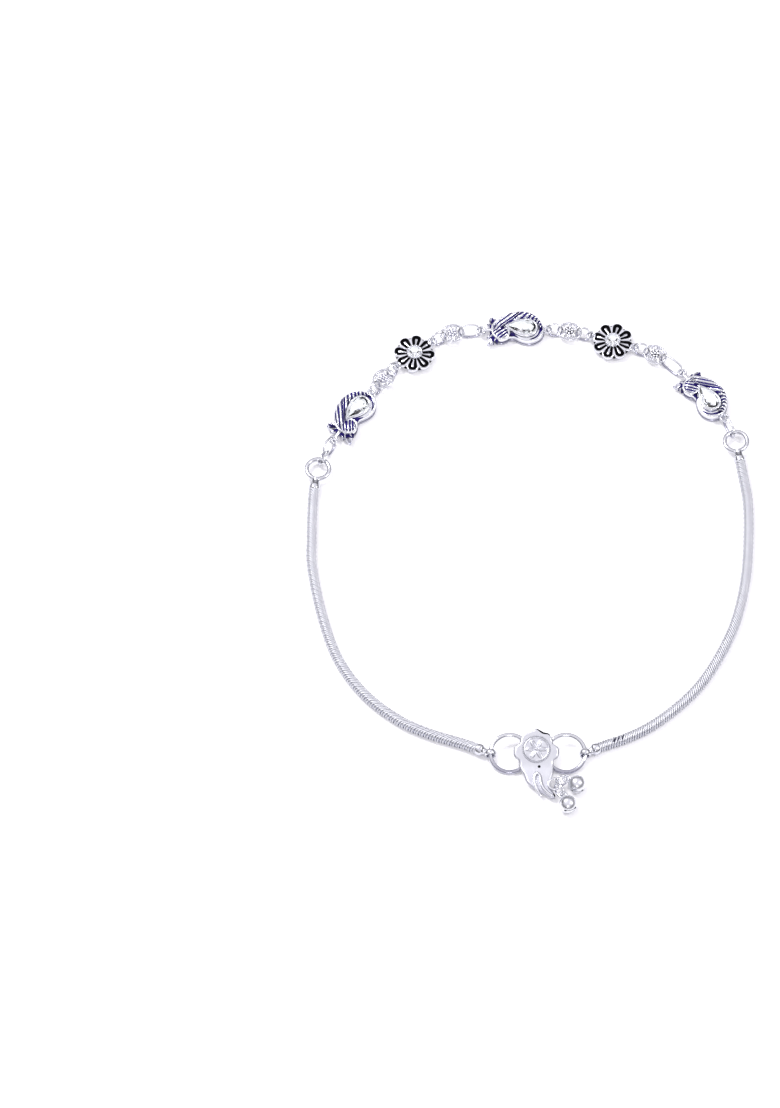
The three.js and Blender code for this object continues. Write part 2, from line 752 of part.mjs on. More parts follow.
const isRing = (entry) => entry.roll !== undefined;
const ahead = (heading, length) => vec(
  length * Math.cos(rad(heading)), length * Math.sin(rad(heading)),
);

// Start points of every piece, walked out from the middle one
function walkRow() {
  const overlapBefore = (i) => (i > 0 && isRing(row[i]) && isRing(row[i - 1]) ? ringOverlap : 0);
  const middle = row.findIndex((entry) => entry.piece === middlePiece);
  const starts = [];
  starts[middle] = rowMiddle.clone().sub(ahead(row[middle].heading, row[middle].length / 2));
  for (let i = middle; i < row.length - 1; i += 1) {
    const end = starts[i].clone().add(ahead(row[i].heading, row[i].length));
    starts[i + 1] = end.sub(ahead(row[i + 1].heading, overlapBefore(i + 1)));
  }
  for (let i = middle - 1; i >= 0; i -= 1) {
    const end = starts[i + 1].clone().add(ahead(row[i + 1].heading, overlapBefore(i + 1)));
    starts[i] = end.sub(ahead(row[i].heading, row[i].length));
  }
  return starts;
}
const starts = walkRow();

const paisleySolid = paisley();
const pearSolid = pearStone();
const flowerSolid = flower();
const roundSolid = roundStoneSolid();
const scrollSolid = scrollLink();

row.forEach((entry, i) => {
  const start = starts[i];
  const middle = start.clone().add(ahead(entry.heading, entry.length / 2));
  if (isRing(entry)) {
    const halfWidth = jumpHalfWidth;
    const low = halfWidth * Math.sin(rad(Math.abs(entry.roll))) + jumpWire / 2 + 0.03;
    middle.z = Math.max(linkHeight, low);
    const ring = wireRing(entry.length / 2, halfWidth, jumpWire).rotate([entry.roll, 0, 0]);
    add(entry.piece, ring, silver(), middle, entry.heading);
  } else if (entry.piece.startsWith('paisley')) {
    const count = entry.piece.split('_')[1];
    add(entry.piece, paisleySolid, silver(), start, entry.heading);
    add(`pear_stone_${count}`, pearSolid, glass(), start, entry.heading);
  } else if (entry.piece.startsWith('flower')) {
    const count = entry.piece.split('_')[1];
    add(entry.piece, flowerSolid, silver(), middle, entry.heading);
    add(`round_stone_${count}`, roundSolid, glass(), middle, entry.heading);
  } else {
    add(entry.piece, scrollSolid, silver(), middle, entry.heading);
  }
});

// Clasp group: its rings, plate, tongue and bells, tilted up at the far side
const claspCentre = vec(
  claspX, claspY, claspRingWire / 2 + claspRingRadius * Math.sin(rad(claspTilt)),
);
const clasp = new THREE.Group();
clasp.position.copy(claspCentre);
clasp.rotation.x = rad(claspTilt);
anklet.add(clasp);
const claspRingSolid = wireRing(claspRingRadius, claspRingRadius, claspRingWire, 20, 6);
add('clasp_ring_left', claspRingSolid, silver(), vec(claspRingLeft, 0), 0, clasp);
add('clasp_ring_right', claspRingSolid, silver(), vec(claspRingRight, 0), 0, clasp);
add('clasp_plate', claspPlate(), silver(), vec(0, 0), 0, clasp);

// Bells on two small rings through the eye at the tongue's end
clasp.updateMatrixWorld(true);
const eyeSpot = vec(
  bellEye.side * tongueLength, -bellEye.down * tongueLength,
  claspRingWire / 2 + plateGap + plateThickness + hookWire * 0.3,
).applyMatrix4(tongueFold()).applyMatrix4(clasp.matrixWorld);
const bells = [
  { count: 1, ringHeading: 22, ringLength: bellRingShort, bellHeading: -32 },
  { count: 2, ringHeading: -58, ringLength: bellRingLong, bellHeading: -64 },
];
const bellSolid = bell();
for (const { count, ringHeading, ringLength, bellHeading } of bells) {
  const first = eyeSpot.clone().add(ahead(ringHeading, bellRingShift));
  const middle = first.clone().add(ahead(ringHeading, ringLength / 2));
  const loop = first.clone().add(ahead(ringHeading, ringLength));
  middle.z = (eyeSpot.z + bellRadius) / 2;
  loop.z = bellRadius + 0.02;
  const fall = Math.atan2(eyeSpot.z - loop.z, ringLength) * 180 / Math.PI;
  const ring = wireRing(ringLength / 2, bellRingWidth / 2, bellRingWire)
    .rotate([jumpRoll, 0, 0]).rotate([0, fall, 0]);
  add(`bell_ring_${count}`, ring, silver(), middle, ringHeading);
  add(`bell_${count}`, bellSolid, silver(), loop, bellHeading);
}

// Chain routes: shares of the straight way from end ring to clasp, along it and out from it
const leftRoute = [
  { along: 0.06, out: 0.045 },
  { along: 0.19, out: 0.119 },
  { along: 0.25, out: 0.15 },
  { along: 0.4, out: 0.199 },
  { along: 0.55, out: 0.226 },
  { along: 0.68, out: 0.213 },
  { along: 0.79, out: 0.17 },
  { along: 0.86, out: 0.122 },
  { along: 0.945, out: 0.043 },
];
const rightRoute = [
  { along: 0.075, out: 0.049 },
  { along: 0.15, out: 0.095 },
  { along: 0.235, out: 0.133 },
  { along: 0.37, out: 0.18 },
  { along: 0.51, out: 0.205 },
  { along: 0.67, out: 0.197 },
  { along: 0.76, out: 0.172 },
  { along: 0.86, out: 0.122 },
  { along: 0.92, out: 0.074 },
  { along: 0.965, out: 0.028 },
];

function chainRoute(from, to, rows, outward) {
  const way = to.clone().sub(from);
  const out = vec(way.y, -way.x).multiplyScalar(outward);
  const points = rows.map(({ along, out: share }) => {
    const p = from.clone().addScaledVector(way, along).addScaledVector(out, share);
    return vec(p.x, p.y, chainHeight);
  });
  return new THREE.CatmullRomCurve3([from, ...points, to]);
}

const rowStart = starts[0].clone().sub(ahead(70, reachInEndRing));
const last = row.length - 1;
const rowEnd = starts[last].clone().add(ahead(row[last].heading, row[last].length));
const ringLeft = vec(rowStart.x, rowStart.y, endRingHeight);
const ringRightSpot = rowEnd.add(ahead(-72, reachInEndRing));
const ringRight = vec(ringRightSpot.x, ringRightSpot.y, endRingHeight);
const eyeLeft = claspCentre.clone().add(vec(claspRingLeft - claspRingRadius, 0));
const eyeRight = claspCentre.clone().add(vec(claspRingRight + claspRingRadius, 0));

const barrel = barrelEye();
const chains = [
  { name: 'snake_chain_left', from: ringLeft, to: eyeLeft, rows: leftRoute, outward: 1 },
  { name: 'snake_chain_right', from: ringRight, to: eyeRight, rows: rightRoute, outward: -1 },
];
for (const { name, from, to, rows, outward } of chains) {
  const { parts } = foxtail(chainRoute(from, to, rows, outward));
  add(name, join(...parts, barrel.translate([to.x, to.y, to.z])), silver());
}

// The middle of the outline goes over the origin, and the underside to z = 0
anklet.updateMatrixWorld(true);
const bounds = new THREE.Box3().setFromObject(anklet, true);
anklet.position.set(
  -(bounds.min.x + bounds.max.x) / 2, -(bounds.min.y + bounds.max.y) / 2, -bounds.min.z,
);
anklet.updateMatrixWorld(true);

export default anklet;
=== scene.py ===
import math

import bmesh
import bpy
import numpy as np
from mathutils import Matrix, Vector
from mathutils.geometry import tessellate_polygon


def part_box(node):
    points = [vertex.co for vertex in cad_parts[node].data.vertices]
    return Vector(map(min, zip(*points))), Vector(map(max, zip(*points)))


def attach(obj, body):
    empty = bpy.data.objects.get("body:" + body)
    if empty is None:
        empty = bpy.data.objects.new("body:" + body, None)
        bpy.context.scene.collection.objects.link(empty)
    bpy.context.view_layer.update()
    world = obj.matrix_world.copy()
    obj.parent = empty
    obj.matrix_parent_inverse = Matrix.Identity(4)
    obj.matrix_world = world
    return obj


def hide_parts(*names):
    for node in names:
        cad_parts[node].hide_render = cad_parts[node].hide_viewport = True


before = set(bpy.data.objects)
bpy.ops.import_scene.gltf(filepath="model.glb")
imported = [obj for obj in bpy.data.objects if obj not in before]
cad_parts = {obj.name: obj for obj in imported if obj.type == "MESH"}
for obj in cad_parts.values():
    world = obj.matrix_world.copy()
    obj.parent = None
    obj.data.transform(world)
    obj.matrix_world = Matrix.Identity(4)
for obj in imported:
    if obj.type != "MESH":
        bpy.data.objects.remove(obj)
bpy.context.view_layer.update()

# The frame is in metres. Lengths below are in millimetres and named angles in degrees, except
# where a comment says otherwise.
MM = 0.001
TO_MM = 1000


def added(name, data):
    """A new object in the scene for a mesh, a light or a camera."""
    made = bpy.data.objects.new(name, data)
    bpy.context.scene.collection.objects.link(made)
    return made


def feed(tree, node, inputs):
    """Sets a node's inputs, each to a plain value or to another node's output."""
    for key, value in inputs.items():
        if isinstance(value, bpy.types.NodeSocket):
            tree.links.new(value, node.inputs[key])
        else:
            node.inputs[key].default_value = value
    return node


def add_node(tree, kind, inputs=None, **settings):
    """A new node with its settings and its inputs."""
    made = tree.nodes.new(kind)
    for name, value in settings.items():
        setattr(made, name, value)
    return feed(tree, made, inputs or {})


def calc(tree, operation, *values):
    """The result of a math node."""
    return add_node(tree, "ShaderNodeMath", dict(enumerate(values)), operation=operation).outputs[0]


def new_group(name, kind, given, made):
    """A node group with the names and kinds of its inputs and outputs."""
    group = bpy.data.node_groups.new(name, kind)
    for way, sockets in (("INPUT", given), ("OUTPUT", made)):
        for socket, what in sockets:
            group.interface.new_socket(socket, in_out=way, socket_type="NodeSocket" + what)
    return group


def new_material(name):
    """A material and its node tree."""
    material = bpy.data.materials.new(name)
    material.use_nodes = True
    return material, material.node_tree


def spin(count):
    """Angles spaced evenly round a full turn."""
    return np.linspace(0, 2 * math.pi, count, endpoint=False)


def polar(radius, angle, height=None):
    """Points round the origin, in plan or at a height."""
    x, y = radius * np.cos(angle), radius * np.sin(angle)
    return np.stack([x, y] if height is None else [x, y, height + 0 * angle], 1)


def fitted(part, place):
    """A part with its points moved by a function."""
    points, faces = part
    return place(points), faces


# Jump rings: round silver wire bent into ovals and soldered shut, each passing through the eye
# of the casting on either side of it. They lie rolled over, so that they pass through flat eyes.

JUMP_WIRE = 0.45
JUMP_HALF_WIDTH = 1.2
# How square the ends of an oval ring are
OVAL_FULLNESS = 2.2
JUMP_RINGS = [
    {"node": "ring_left_lower", "length": 3.0, "heading": 68, "roll": -58},
    {"node": "ring_left_upper", "length": 3.4, "heading": 62, "roll": 58},
    {"node": "ring_a1", "length": 2.4, "heading": 54, "roll": 58},
    {"node": "ring_a2", "length": 2.4, "heading": 48, "roll": 58},
    {"node": "ring_b1", "length": 2.8, "heading": 30, "roll": 58},
    {"node": "ring_b2", "length": 4.1, "heading": 3, "roll": 58},
    {"node": "ring_c1", "length": 2.8, "heading": -4, "roll": 58},
    {"node": "ring_c2", "length": 2.8, "heading": -14, "roll": 58},
    {"node": "ring_d1", "length": 2.8, "heading": -17, "roll": 58},
    {"node": "ring_d2", "length": 5.1, "heading": -42, "roll": 58},
    {"node": "ring_right", "length": 4.4, "heading": -66, "roll": 75},
]


# Silver: tint, colour of its tarnish and of the painted shade on its lower parts, the heights at
# which that painted shade sets in and is full, how much rougher its clouds are and how deep its
# grain is
SILVER_TINT = (("Red", 1.0), ("Green", 1.015), ("Blue", 1.045))
TARNISH_AND_SHADE_COLOUR = (0.42, 0.42, 0.5, 1)
SHADE_HEIGHTS = (1.8, 0.6)
CLOUD_ROUGHNESS = 0.12
GRAIN_DEPTH = 0.03
CLOUD_SCALE = 420
GRAIN_SCALE = 5200


def aged_silver():
    """Colour, roughness and grain of worn, hand-polished silver, darker towards the bottom with
    painted shade.
    """
    group = new_group("aged_silver", "ShaderNodeTree",
                      [(name, "Float") for name in ("Bright", "Tarnish", "Low Shade", "Polish")],
                      [("Color", "Color"), ("Roughness", "Float"), ("Height", "Float")])
    given = add_node(group, "NodeGroupInput").outputs
    place = add_node(group, "ShaderNodeTexCoord").outputs["Object"]
    cloud, grain = (
        add_node(group, "ShaderNodeTexNoise",
                 {"Vector": place, "Scale": scale, "Detail": detail}).outputs["Fac"]
        for scale, detail in ((CLOUD_SCALE, 3), (GRAIN_SCALE, 2)))
    # Painted shade: darker towards the bottom, setting in at the first shade height and full at the
    # second
    low = add_node(group, "ShaderNodeMapRange", {
        "Value": add_node(group, "ShaderNodeSeparateXYZ", {"Vector": place}).outputs["Z"],
        "From Min": SHADE_HEIGHTS[0] * MM, "From Max": SHADE_HEIGHTS[1] * MM})
    # Tarnish in random clouds, on top of the painted shade low down
    tarnish_and_shade = calc(group, "MULTIPLY_ADD", low.outputs["Result"], given["Low Shade"],
                calc(group, "MULTIPLY", cloud, given["Tarnish"]))
    bright = add_node(group, "ShaderNodeCombineColor",
                      {channel: calc(group, "MULTIPLY", given["Bright"], share)
                       for channel, share in SILVER_TINT})
    mixed = add_node(group, "ShaderNodeMix", {
        "Factor": tarnish_and_shade, "A": bright.outputs[0], "B": TARNISH_AND_SHADE_COLOUR}, data_type="RGBA")
    add_node(group, "NodeGroupOutput", {
        "Color": mixed.outputs["Result"], "Height": grain,
        "Roughness": calc(group, "MULTIPLY_ADD", cloud, CLOUD_ROUGHNESS, given["Polish"])})
    return group


SILVER_FINISH = aged_silver()


def silver(name, bright, tarnish, low, polish, bump=0.12):
    """A silver material with its own brightness, tarnish, painted shade low down, polish and grain.
    """
    material, tree = new_material(name)
    finish = add_node(tree, "ShaderNodeGroup", {
        "Bright": bright, "Tarnish": tarnish, "Low Shade": low, "Polish": polish},
        node_tree=SILVER_FINISH).outputs
    relief = add_node(tree, "ShaderNodeBump", {
        "Strength": bump, "Distance": GRAIN_DEPTH * MM, "Height": finish["Height"]})
    feed(tree, tree.nodes["Principled BSDF"], {
        "Metallic": 1.0, "Base Color": finish["Color"], "Roughness": finish["Roughness"],
        "Normal": relief.outputs["Normal"]})
    return material


WIRE_SILVER = silver("wire_silver", bright=0.8, tarnish=0.35, low=0.9, polish=0.12)


def turned(points, roll=0.0, fall=0.0, heading=0.0, start=(0, 0, 0)):
    """Points turned about X, then Y, then Z, in degrees, and moved to their start."""
    turn = (Matrix.Rotation(math.radians(heading), 3, "Z")
            @ Matrix.Rotation(math.radians(fall), 3, "Y")
            @ Matrix.Rotation(math.radians(roll), 3, "X"))
    return np.array(points, float) @ np.array(turn).T + np.array(start, float)


def tube(path, radius, sides=12, closed=False, up=(0, 0, 1), flat=1.0):
    """A wire along a path in millimetres: its points and faces."""
    path = np.array(path, float)
    count = len(path)
    radius = np.broadcast_to(np.array(radius, float), (count,))
    if closed:
        ahead = np.roll(path, -1, 0) - np.roll(path, 1, 0)
    else:
        ahead = np.gradient(path, axis=0)
    ahead /= np.linalg.norm(ahead, axis=1, keepdims=True)
    side = np.cross(np.array(up, float), ahead)
    side /= np.linalg.norm(side, axis=1, keepdims=True)
    third = np.cross(ahead, side)
    angle = spin(sides)
    points = (path[:, None] + radius[:, None, None]
              * (np.cos(angle)[None, :, None] * side[:, None]
                 + flat * np.sin(angle)[None, :, None] * third[:, None]))
    return points.reshape(-1, 3), ring_faces(count, sides, closed)


def tapered(line, spots, halves, sides=10, flat=1.0):
    """A wire whose half width is given at some shares of its length."""
    return tube(line, np.interp(np.linspace(0, 1, len(line)), spots, halves), sides, flat=flat)


def ring_faces(rows, around, closed=False):
    """Quads between rows of points, with both ends capped unless the rows close on themselves."""
    faces = []
    for i in range(rows if closed else rows - 1):
        j = (i + 1) % rows
        for k in range(around):
            m = (k + 1) % around
            faces.append((i * around + k, i * around + m, j * around + m, j * around + k))
    if not closed:
        faces.append(tuple(reversed(range(around))))
        faces.append(tuple(range((rows - 1) * around, rows * around)))
    return faces


def hoop(radius, wire, centre=(0, 0, 0), sides=12, count=40):
    """A round wire ring lying flat: its points and faces."""
    return tube(polar(radius, spin(count), 0) + np.array(centre), wire / 2, sides, True)


def oval(half_length, half_width, count=56):
    """Middle line of an oval ring in the XY plane, its length along X."""
    angle = spin(count)
    share = np.tanh(OVAL_FULLNESS * np.cos(angle)) / math.tanh(OVAL_FULLNESS)
    x = half_width * np.cos(angle) + (half_length - half_width) * share
    return np.stack([x, half_width * np.sin(angle), 0 * x], 1)


def piece(name, parts, material, nodes, crease=38):
    """One finished piece from its parts, in millimetres, set in place of its CAD nodes."""
    mesh = bpy.data.meshes.new(name)
    points, faces, first = [], [], 0
    for part_points, part_faces in parts:
        points.append(np.array(part_points, float) * MM)
        faces += [tuple(first + k for k in face) for face in part_faces]
        first += len(part_points)
    mesh.from_pydata(np.concatenate(points).tolist(), [], faces)
    shape = bmesh.new()
    shape.from_mesh(mesh)
    bmesh.ops.recalc_face_normals(shape, faces=shape.faces)
    shape.to_mesh(mesh)
    shape.free()
    mesh.shade_smooth()
    mesh.set_sharp_from_angle(angle=math.radians(crease))
    mesh.materials.append(material)
    made = added(name, mesh)
    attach(made, "root")
    if nodes:
        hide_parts(*nodes)
    return made


def casting(node, finishes, heading, spot, crease):
    """Sets the parts of a casting in place of its CAD node, a piece for each finish."""
    for name, parts, material, slot in finishes:
        placed = [(turned(points, 0, 0, heading, spot), faces) for points, faces in parts]
        piece(node + name, placed, material, [node], crease)


def middle(node):
    """Middle of a CAD node's box, in millimetres."""
    low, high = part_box(node)
    return np.array((low + high) / 2) * TO_MM


for ring in JUMP_RINGS:
    line = turned(oval(ring["length"] / 2, JUMP_HALF_WIDTH), ring["roll"], 0, ring["heading"])
    across = turned([(0, 0, 1)], ring["roll"], 0, ring["heading"])[0]
    wire = tube(line + middle(ring["node"]), JUMP_WIRE / 2, 12, True, across)
    piece("wire_" + ring["node"], [wire], WIRE_SILVER, [ring["node"]])


# Foxtail chains: slanting silver loops drawn through each other into a square cord round a grey
# core, which is painted shade in the gaps of the cord. A soldered cap ends each; one carries a
# wire ring, the other an eye round a clasp ring.

CHAIN_WIDTH = 1.95
CHAIN_HEIGHT = 1.0
STRAND_WIRE = 0.41
STRAND_PITCH = 0.5
STRAND_SLANT = -42
STRAND_CORNER = 0.55
# How much smaller every other loop is, as a share
ODD_SHRINK = 0.05
# How far the weave starts from the middle of the end ring and ends from the barrel eye
WEAVE_START = 3.85
WEAVE_END = 1.3
# Blackened seam: half its length, its half width at the ends and in the middle
SEAM_HALF = 0.5
SEAM_WIDTHS = [0.08, 0.16, 0.08]
# Turned caps: share of each one's length, share of half the collar's width
COLLAR_LENGTH = 2.4
COLLAR_SWELL = [
    (0, 0.62), (0.2, 0.6), (0.45, 0.78), (0.6, 0.93), (0.85, 0.98), (0.95, 0.93), (1, 0.8),
]
CAP_LENGTH = 1.95
CAP_SWELL = [
    (0, 0.8), (0.05, 0.93), (0.15, 1.0), (0.4, 1.04), (0.62, 0.95), (0.8, 0.62), (1, 0.5),
]
COLLAR_WIDTH = 2.25
END_RING_RADIUS = 2.1
END_RING_WIRE = 0.85
CLASP_RING_WIRE = 0.85
BARREL_RADIUS = 0.88
BARREL_WALL = 0.5
BARREL_WIDTH = 1.1
# Route: shares of the way from the end ring to the clasp ring, and of that way outwards.
# Seams: how far each blackened one lies from the middle of the barrel eye.
CHAINS = [
    {"node": "snake_chain_left", "clasp_ring": "clasp_ring_left", "outward": 1, "seams": [],
     "route": [
        (0.06, 0.045), (0.19, 0.119), (0.25, 0.15), (0.4, 0.199), (0.55, 0.226),
        (0.68, 0.213), (0.79, 0.17), (0.86, 0.122), (0.945, 0.043)]},
    {"node": "snake_chain_right", "clasp_ring": "clasp_ring_right", "outward": -1,
     "seams": [6.0, 6.8, 7.6], "route": [
        (0.075, 0.049), (0.15, 0.095), (0.235, 0.133), (0.37, 0.18), (0.51, 0.205),
        (0.67, 0.197), (0.76, 0.172), (0.86, 0.122), (0.92, 0.074), (0.965, 0.028)]},
]


def cad_points(node):
    """The CAD node's corners in millimetres."""
    return np.array([v.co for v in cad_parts[node].data.vertices], float) * TO_MM


def smooth_line(points, count):
    """Points evenly spaced along a centripetal curve through a few points."""
    points = np.array(points, float)
    full = np.vstack([2 * points[0] - points[1], points, 2 * points[-1] - points[-2]])
    line = []
    for i in range(len(points) - 1):
        a, b, c, d = full[i:i + 4]
        before, here, after = (math.sqrt(np.linalg.norm(q - p))
                               for p, q in ((a, b), (b, c), (c, d)))
        leave = here * ((b - a) / before - (c - a) / (before + here) + (c - b) / here)
        reach = here * ((c - b) / here - (d - b) / (here + after) + (d - c) / after)
        for t in np.linspace(0, 1, 24, endpoint=False):
            line.append(b + leave * t + (-3 * b + 3 * c - 2 * leave - reach) * t ** 2
                        + (2 * b - 2 * c + leave + reach) * t ** 3)
    line = np.array(line + [points[-1]])
    gone = np.concatenate([[0], np.cumsum(np.linalg.norm(np.diff(line, axis=0), axis=1))])
    even = np.linspace(0, gone[-1], count)
    return np.stack([np.interp(even, gone, line[:, k]) for k in range(3)], 1), gone[-1]


def strand_tree(material):
    """Geometry Nodes: one slanted, rounded square loop of wire at each point of the route."""
    tree = new_group("foxtail_strands", "GeometryNodeTree", [("Geometry", "Geometry")]
                     + [(name, "Float") for name in ("Width", "Wire", "Slant", "Corner")],
                     [("Geometry", "Geometry")])
    given = add_node(tree, "NodeGroupInput").outputs
    inner = calc(tree, "SUBTRACT", given["Width"], given["Wire"])
    square = add_node(tree, "GeometryNodeCurvePrimitiveQuadrilateral", {
        "Width": calc(tree, "DIVIDE", inner, calc(tree, "COSINE", given["Slant"])),
        "Height": inner})
    fillet = add_node(tree, "GeometryNodeFilletCurve", {
        "Count": 3, "Radius": given["Corner"], "Curve": square.outputs["Curve"]}, mode="POLY")
    profile = add_node(tree, "GeometryNodeCurvePrimitiveCircle", {
        "Resolution": 6, "Radius": calc(tree, "MULTIPLY", given["Wire"], 0.5)})
    wire = add_node(tree, "GeometryNodeCurveToMesh", {
        "Curve": fillet.outputs["Curve"], "Profile Curve": profile.outputs["Curve"]})
    route = add_node(tree, "GeometryNodeMeshToCurve", {"Mesh": given["Geometry"]})
    tangent = add_node(tree, "GeometryNodeInputTangent")
    along = add_node(tree, "FunctionNodeAlignRotationToVector", {
        "Vector": tangent.outputs["Tangent"]}, axis="Z")
    upright = add_node(tree, "FunctionNodeAlignRotationToVector", {
        "Vector": (0, 0, 1), "Rotation": along.outputs["Rotation"]}, axis="Y", pivot_axis="Z")
    turn = add_node(tree, "ShaderNodeCombineXYZ", {"Y": given["Slant"]})
    slanted = add_node(tree, "FunctionNodeRotateRotation", {
        "Rotation": upright.outputs["Rotation"], "Rotate By": turn.outputs["Vector"]},
        rotation_space="LOCAL")
    index = add_node(tree, "GeometryNodeInputIndex").outputs["Index"]
    odd = calc(tree, "MODULO", index, 2.0)
    placed = add_node(tree, "GeometryNodeInstanceOnPoints", {
        "Points": route.outputs["Curve"], "Instance": wire.outputs["Mesh"],
        "Rotation": slanted.outputs["Rotation"],
        "Scale": calc(tree, "SUBTRACT", 1.0, calc(tree, "MULTIPLY", odd, ODD_SHRINK))})
    real = add_node(tree, "GeometryNodeRealizeInstances", {"Geometry": placed.outputs["Instances"]})
    coat = add_node(tree, "GeometryNodeSetMaterial", {
        "Material": material, "Geometry": real.outputs["Geometry"]})
    add_node(tree, "NodeGroupOutput", {"Geometry": coat.outputs["Geometry"]})
    return tree


def set_inputs(modifier, **values):
    """Sets a Geometry Nodes modifier's inputs by their sockets' identifiers."""
    for item in modifier.node_group.interface.items_tree:
        if item.in_out == "INPUT" and item.name in values:
            modifier[item.identifier] = values[item.name]


STRAND_SILVER = silver("strand_silver", bright=0.72, tarnish=0.4, low=0.3, polish=0.42)
CAP_SILVER = silver("cap_silver", bright=0.78, tarnish=0.5, low=0.7, polish=0.16)
STRANDS = strand_tree(STRAND_SILVER)


def mottled(name, first, second, scale, values, detail=2, spread=(0, 1)):
    """A material of two close tones in clouds, with its plain settings."""
    material, tree = new_material(name)
    place = add_node(tree, "ShaderNodeTexCoord").outputs["Object"]
    cloud = add_node(tree, "ShaderNodeTexNoise", {
        "Vector": place, "Scale": scale, "Detail": detail}).outputs["Fac"]
    ramp = add_node(tree, "ShaderNodeValToRGB", {"Fac": cloud})
    for element, spot, colour in zip(ramp.color_ramp.elements, spread, (first, second)):
        element.position = spot
        element.color = (*colour, 1)
    feed(tree, tree.nodes["Principled BSDF"], {"Base Color": ramp.outputs["Color"], **values})
    return material


def oxide_and_shade(name, colour, roughness):
    """A dark, slightly uneven finish: silver blackened in its hollows, and also painted shade and
    painted reflections.
    """
    return mottled(name, colour, [2.6 * c for c in colour], 1500,
                   {"Metallic": 0.2, "Specular IOR Level": 0.05, "Roughness": roughness})


# Grey of the chains' cores: painted shade
CORE_SHADE_GREY = oxide_and_shade("core_shade_grey", (0.4, 0.42, 0.52), 0.6)
SEAM_BLACK = oxide_and_shade("seam_black", (0.02, 0.02, 0.035), 0.5)


def chain_ends(chain):
    """Middle of the end ring and of the barrel eye, in millimetres."""
    corners = cad_points(chain["node"])
    top = corners[:, 1].max()
    ring = corners[corners[:, 1] > top - END_RING_RADIUS - END_RING_WIRE / 2]
    start = (ring[:, 0].min() + ring[:, 0].max()) / 2
    low, high = (np.array(corner) * TO_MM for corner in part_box(chain["clasp_ring"]))
    side = low[0] + CLASP_RING_WIRE / 2 if chain["outward"] > 0 else high[0] - CLASP_RING_WIRE / 2
    height = (ring[:, 2].min() + ring[:, 2].max()) / 2
    return (np.array([start, top - END_RING_RADIUS - END_RING_WIRE / 2, height]),
            np.array([side, (low[1] + high[1]) / 2, (low[2] + high[2]) / 2]))


for chain in CHAINS:
    first, last = chain_ends(chain)
    way = last - first
    out = np.array([way[1], -way[0], 0]) * chain["outward"]
    spots = [first]
    for along, share in chain["route"]:
        spot = first + along * way + share * out
        spots.append(np.array([spot[0], spot[1], CHAIN_HEIGHT]))
    spots.append(last)
    line, length = smooth_line(spots, 640)
    gone = np.linspace(0, length, len(line))

    def stretch(start, end, count, line=line, gone=gone):
        wanted = np.linspace(start, end, count)
        return np.stack([np.interp(wanted, gone, line[:, k]) for k in range(3)], 1)

    back = length - BARREL_RADIUS - BARREL_WALL / 2
    woven_from, woven_to = WEAVE_START, back - WEAVE_END
    count = int((woven_to - woven_from) / STRAND_PITCH)
    route = stretch(woven_from, woven_to, count)
    guide = bpy.data.meshes.new("route")
    guide.from_pydata((route * MM).tolist(), [(i, i + 1) for i in range(count - 1)], [])
    guide_object = added("route", guide)
    modifier = guide_object.modifiers.new("strands", "NODES")
    modifier.node_group = STRANDS
    set_inputs(modifier, Width=CHAIN_WIDTH * MM, Wire=STRAND_WIRE * MM,
               Slant=math.radians(STRAND_SLANT), Corner=STRAND_CORNER * MM)
    bpy.context.view_layer.update()
    evaluated = guide_object.evaluated_get(bpy.context.evaluated_depsgraph_get())
    woven = bpy.data.meshes.new_from_object(evaluated)
    bpy.data.objects.remove(guide_object)
    woven.shade_smooth()
    strands = added(chain["node"] + "_strands", woven)
    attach(strands, "root")
    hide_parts(chain["node"])

    # Grey tube inside the strands: painted shade seen in the gaps of the cord
    core = stretch(woven_from - 0.2, woven_to + 0.2, 160)
    piece(chain["node"] + "_shade_core", [tube(core, CHAIN_WIDTH / 2 - 0.3, 10)], CORE_SHADE_GREY,
          [])

    seams = []
    for away in chain["seams"]:
        near, far = stretch(length - away, length - away - 0.2, 2)
        turn = math.degrees(math.atan2(far[1] - near[1], far[0] - near[0])) + 90 + STRAND_SLANT
        points, faces = tube([(-SEAM_HALF, 0, 0), (0, 0, 0), (SEAM_HALF, 0, 0)], SEAM_WIDTHS, 8,
                             flat=0.5)
        near[2] += CHAIN_WIDTH / 2 - 0.03
        seams.append((turned(points, 0, 0, turn, near), faces))
    if seams:
        piece(chain["node"] + "_seams", seams, SEAM_BLACK, [])

    ends = []
    for start, reach, swell in ((END_RING_RADIUS - 0.1, COLLAR_LENGTH, COLLAR_SWELL),
                                (back + 0.2 - CAP_LENGTH, CAP_LENGTH, CAP_SWELL)):
        share, width = np.array(swell, float).T
        ends.append(tapered(stretch(start, start + reach, 25), share, COLLAR_WIDTH / 2 * width, 20))
    circle = spin(72)
    barrel = last + BARREL_RADIUS * np.stack([np.cos(circle), 0 * circle, np.sin(circle)], 1)
    piece(chain["node"] + "_ends", [
        *ends, hoop(END_RING_RADIUS, END_RING_WIRE, first, 16, 72),
        tube(barrel, BARREL_WALL / 2, 14, True, (0, 1, 0), BARREL_WIDTH / BARREL_WALL),
    ], CAP_SILVER, [chain["node"]], 60)


# Paisleys: silver castings with a polished side wall, a domed back of slanting ridges with blue
# enamel between them, a curled tail edged with wire, a leafy calyx and a pear-shaped stone cup.

PAISLEY_PITCH = 12.3
PAISLEY_LENGTH = 9.7
PAISLEY_WIDTH = 6.45
PAISLEY_TAIL = 1.98
WALL_HEIGHT = 1.9
DOME_HEIGHT = 0.85
EYE_RADIUS = 0.7
EYE_WIRE = 0.45
EYE_HEIGHT = 1.3
PEAR_LENGTH = 5.4
PEAR_WIDTH = 3.0
PEAR_TURN = -6
BEZEL_WALL = 0.42
BEZEL_HEIGHT = 2.65
PAISLEYS = [
    {"node": "paisley_1", "stone": "pear_stone_1", "heading": 55},
    {"node": "paisley_2", "stone": "pear_stone_2", "heading": 1},
    {"node": "paisley_3", "stone": "pear_stone_3", "heading": -51},
]
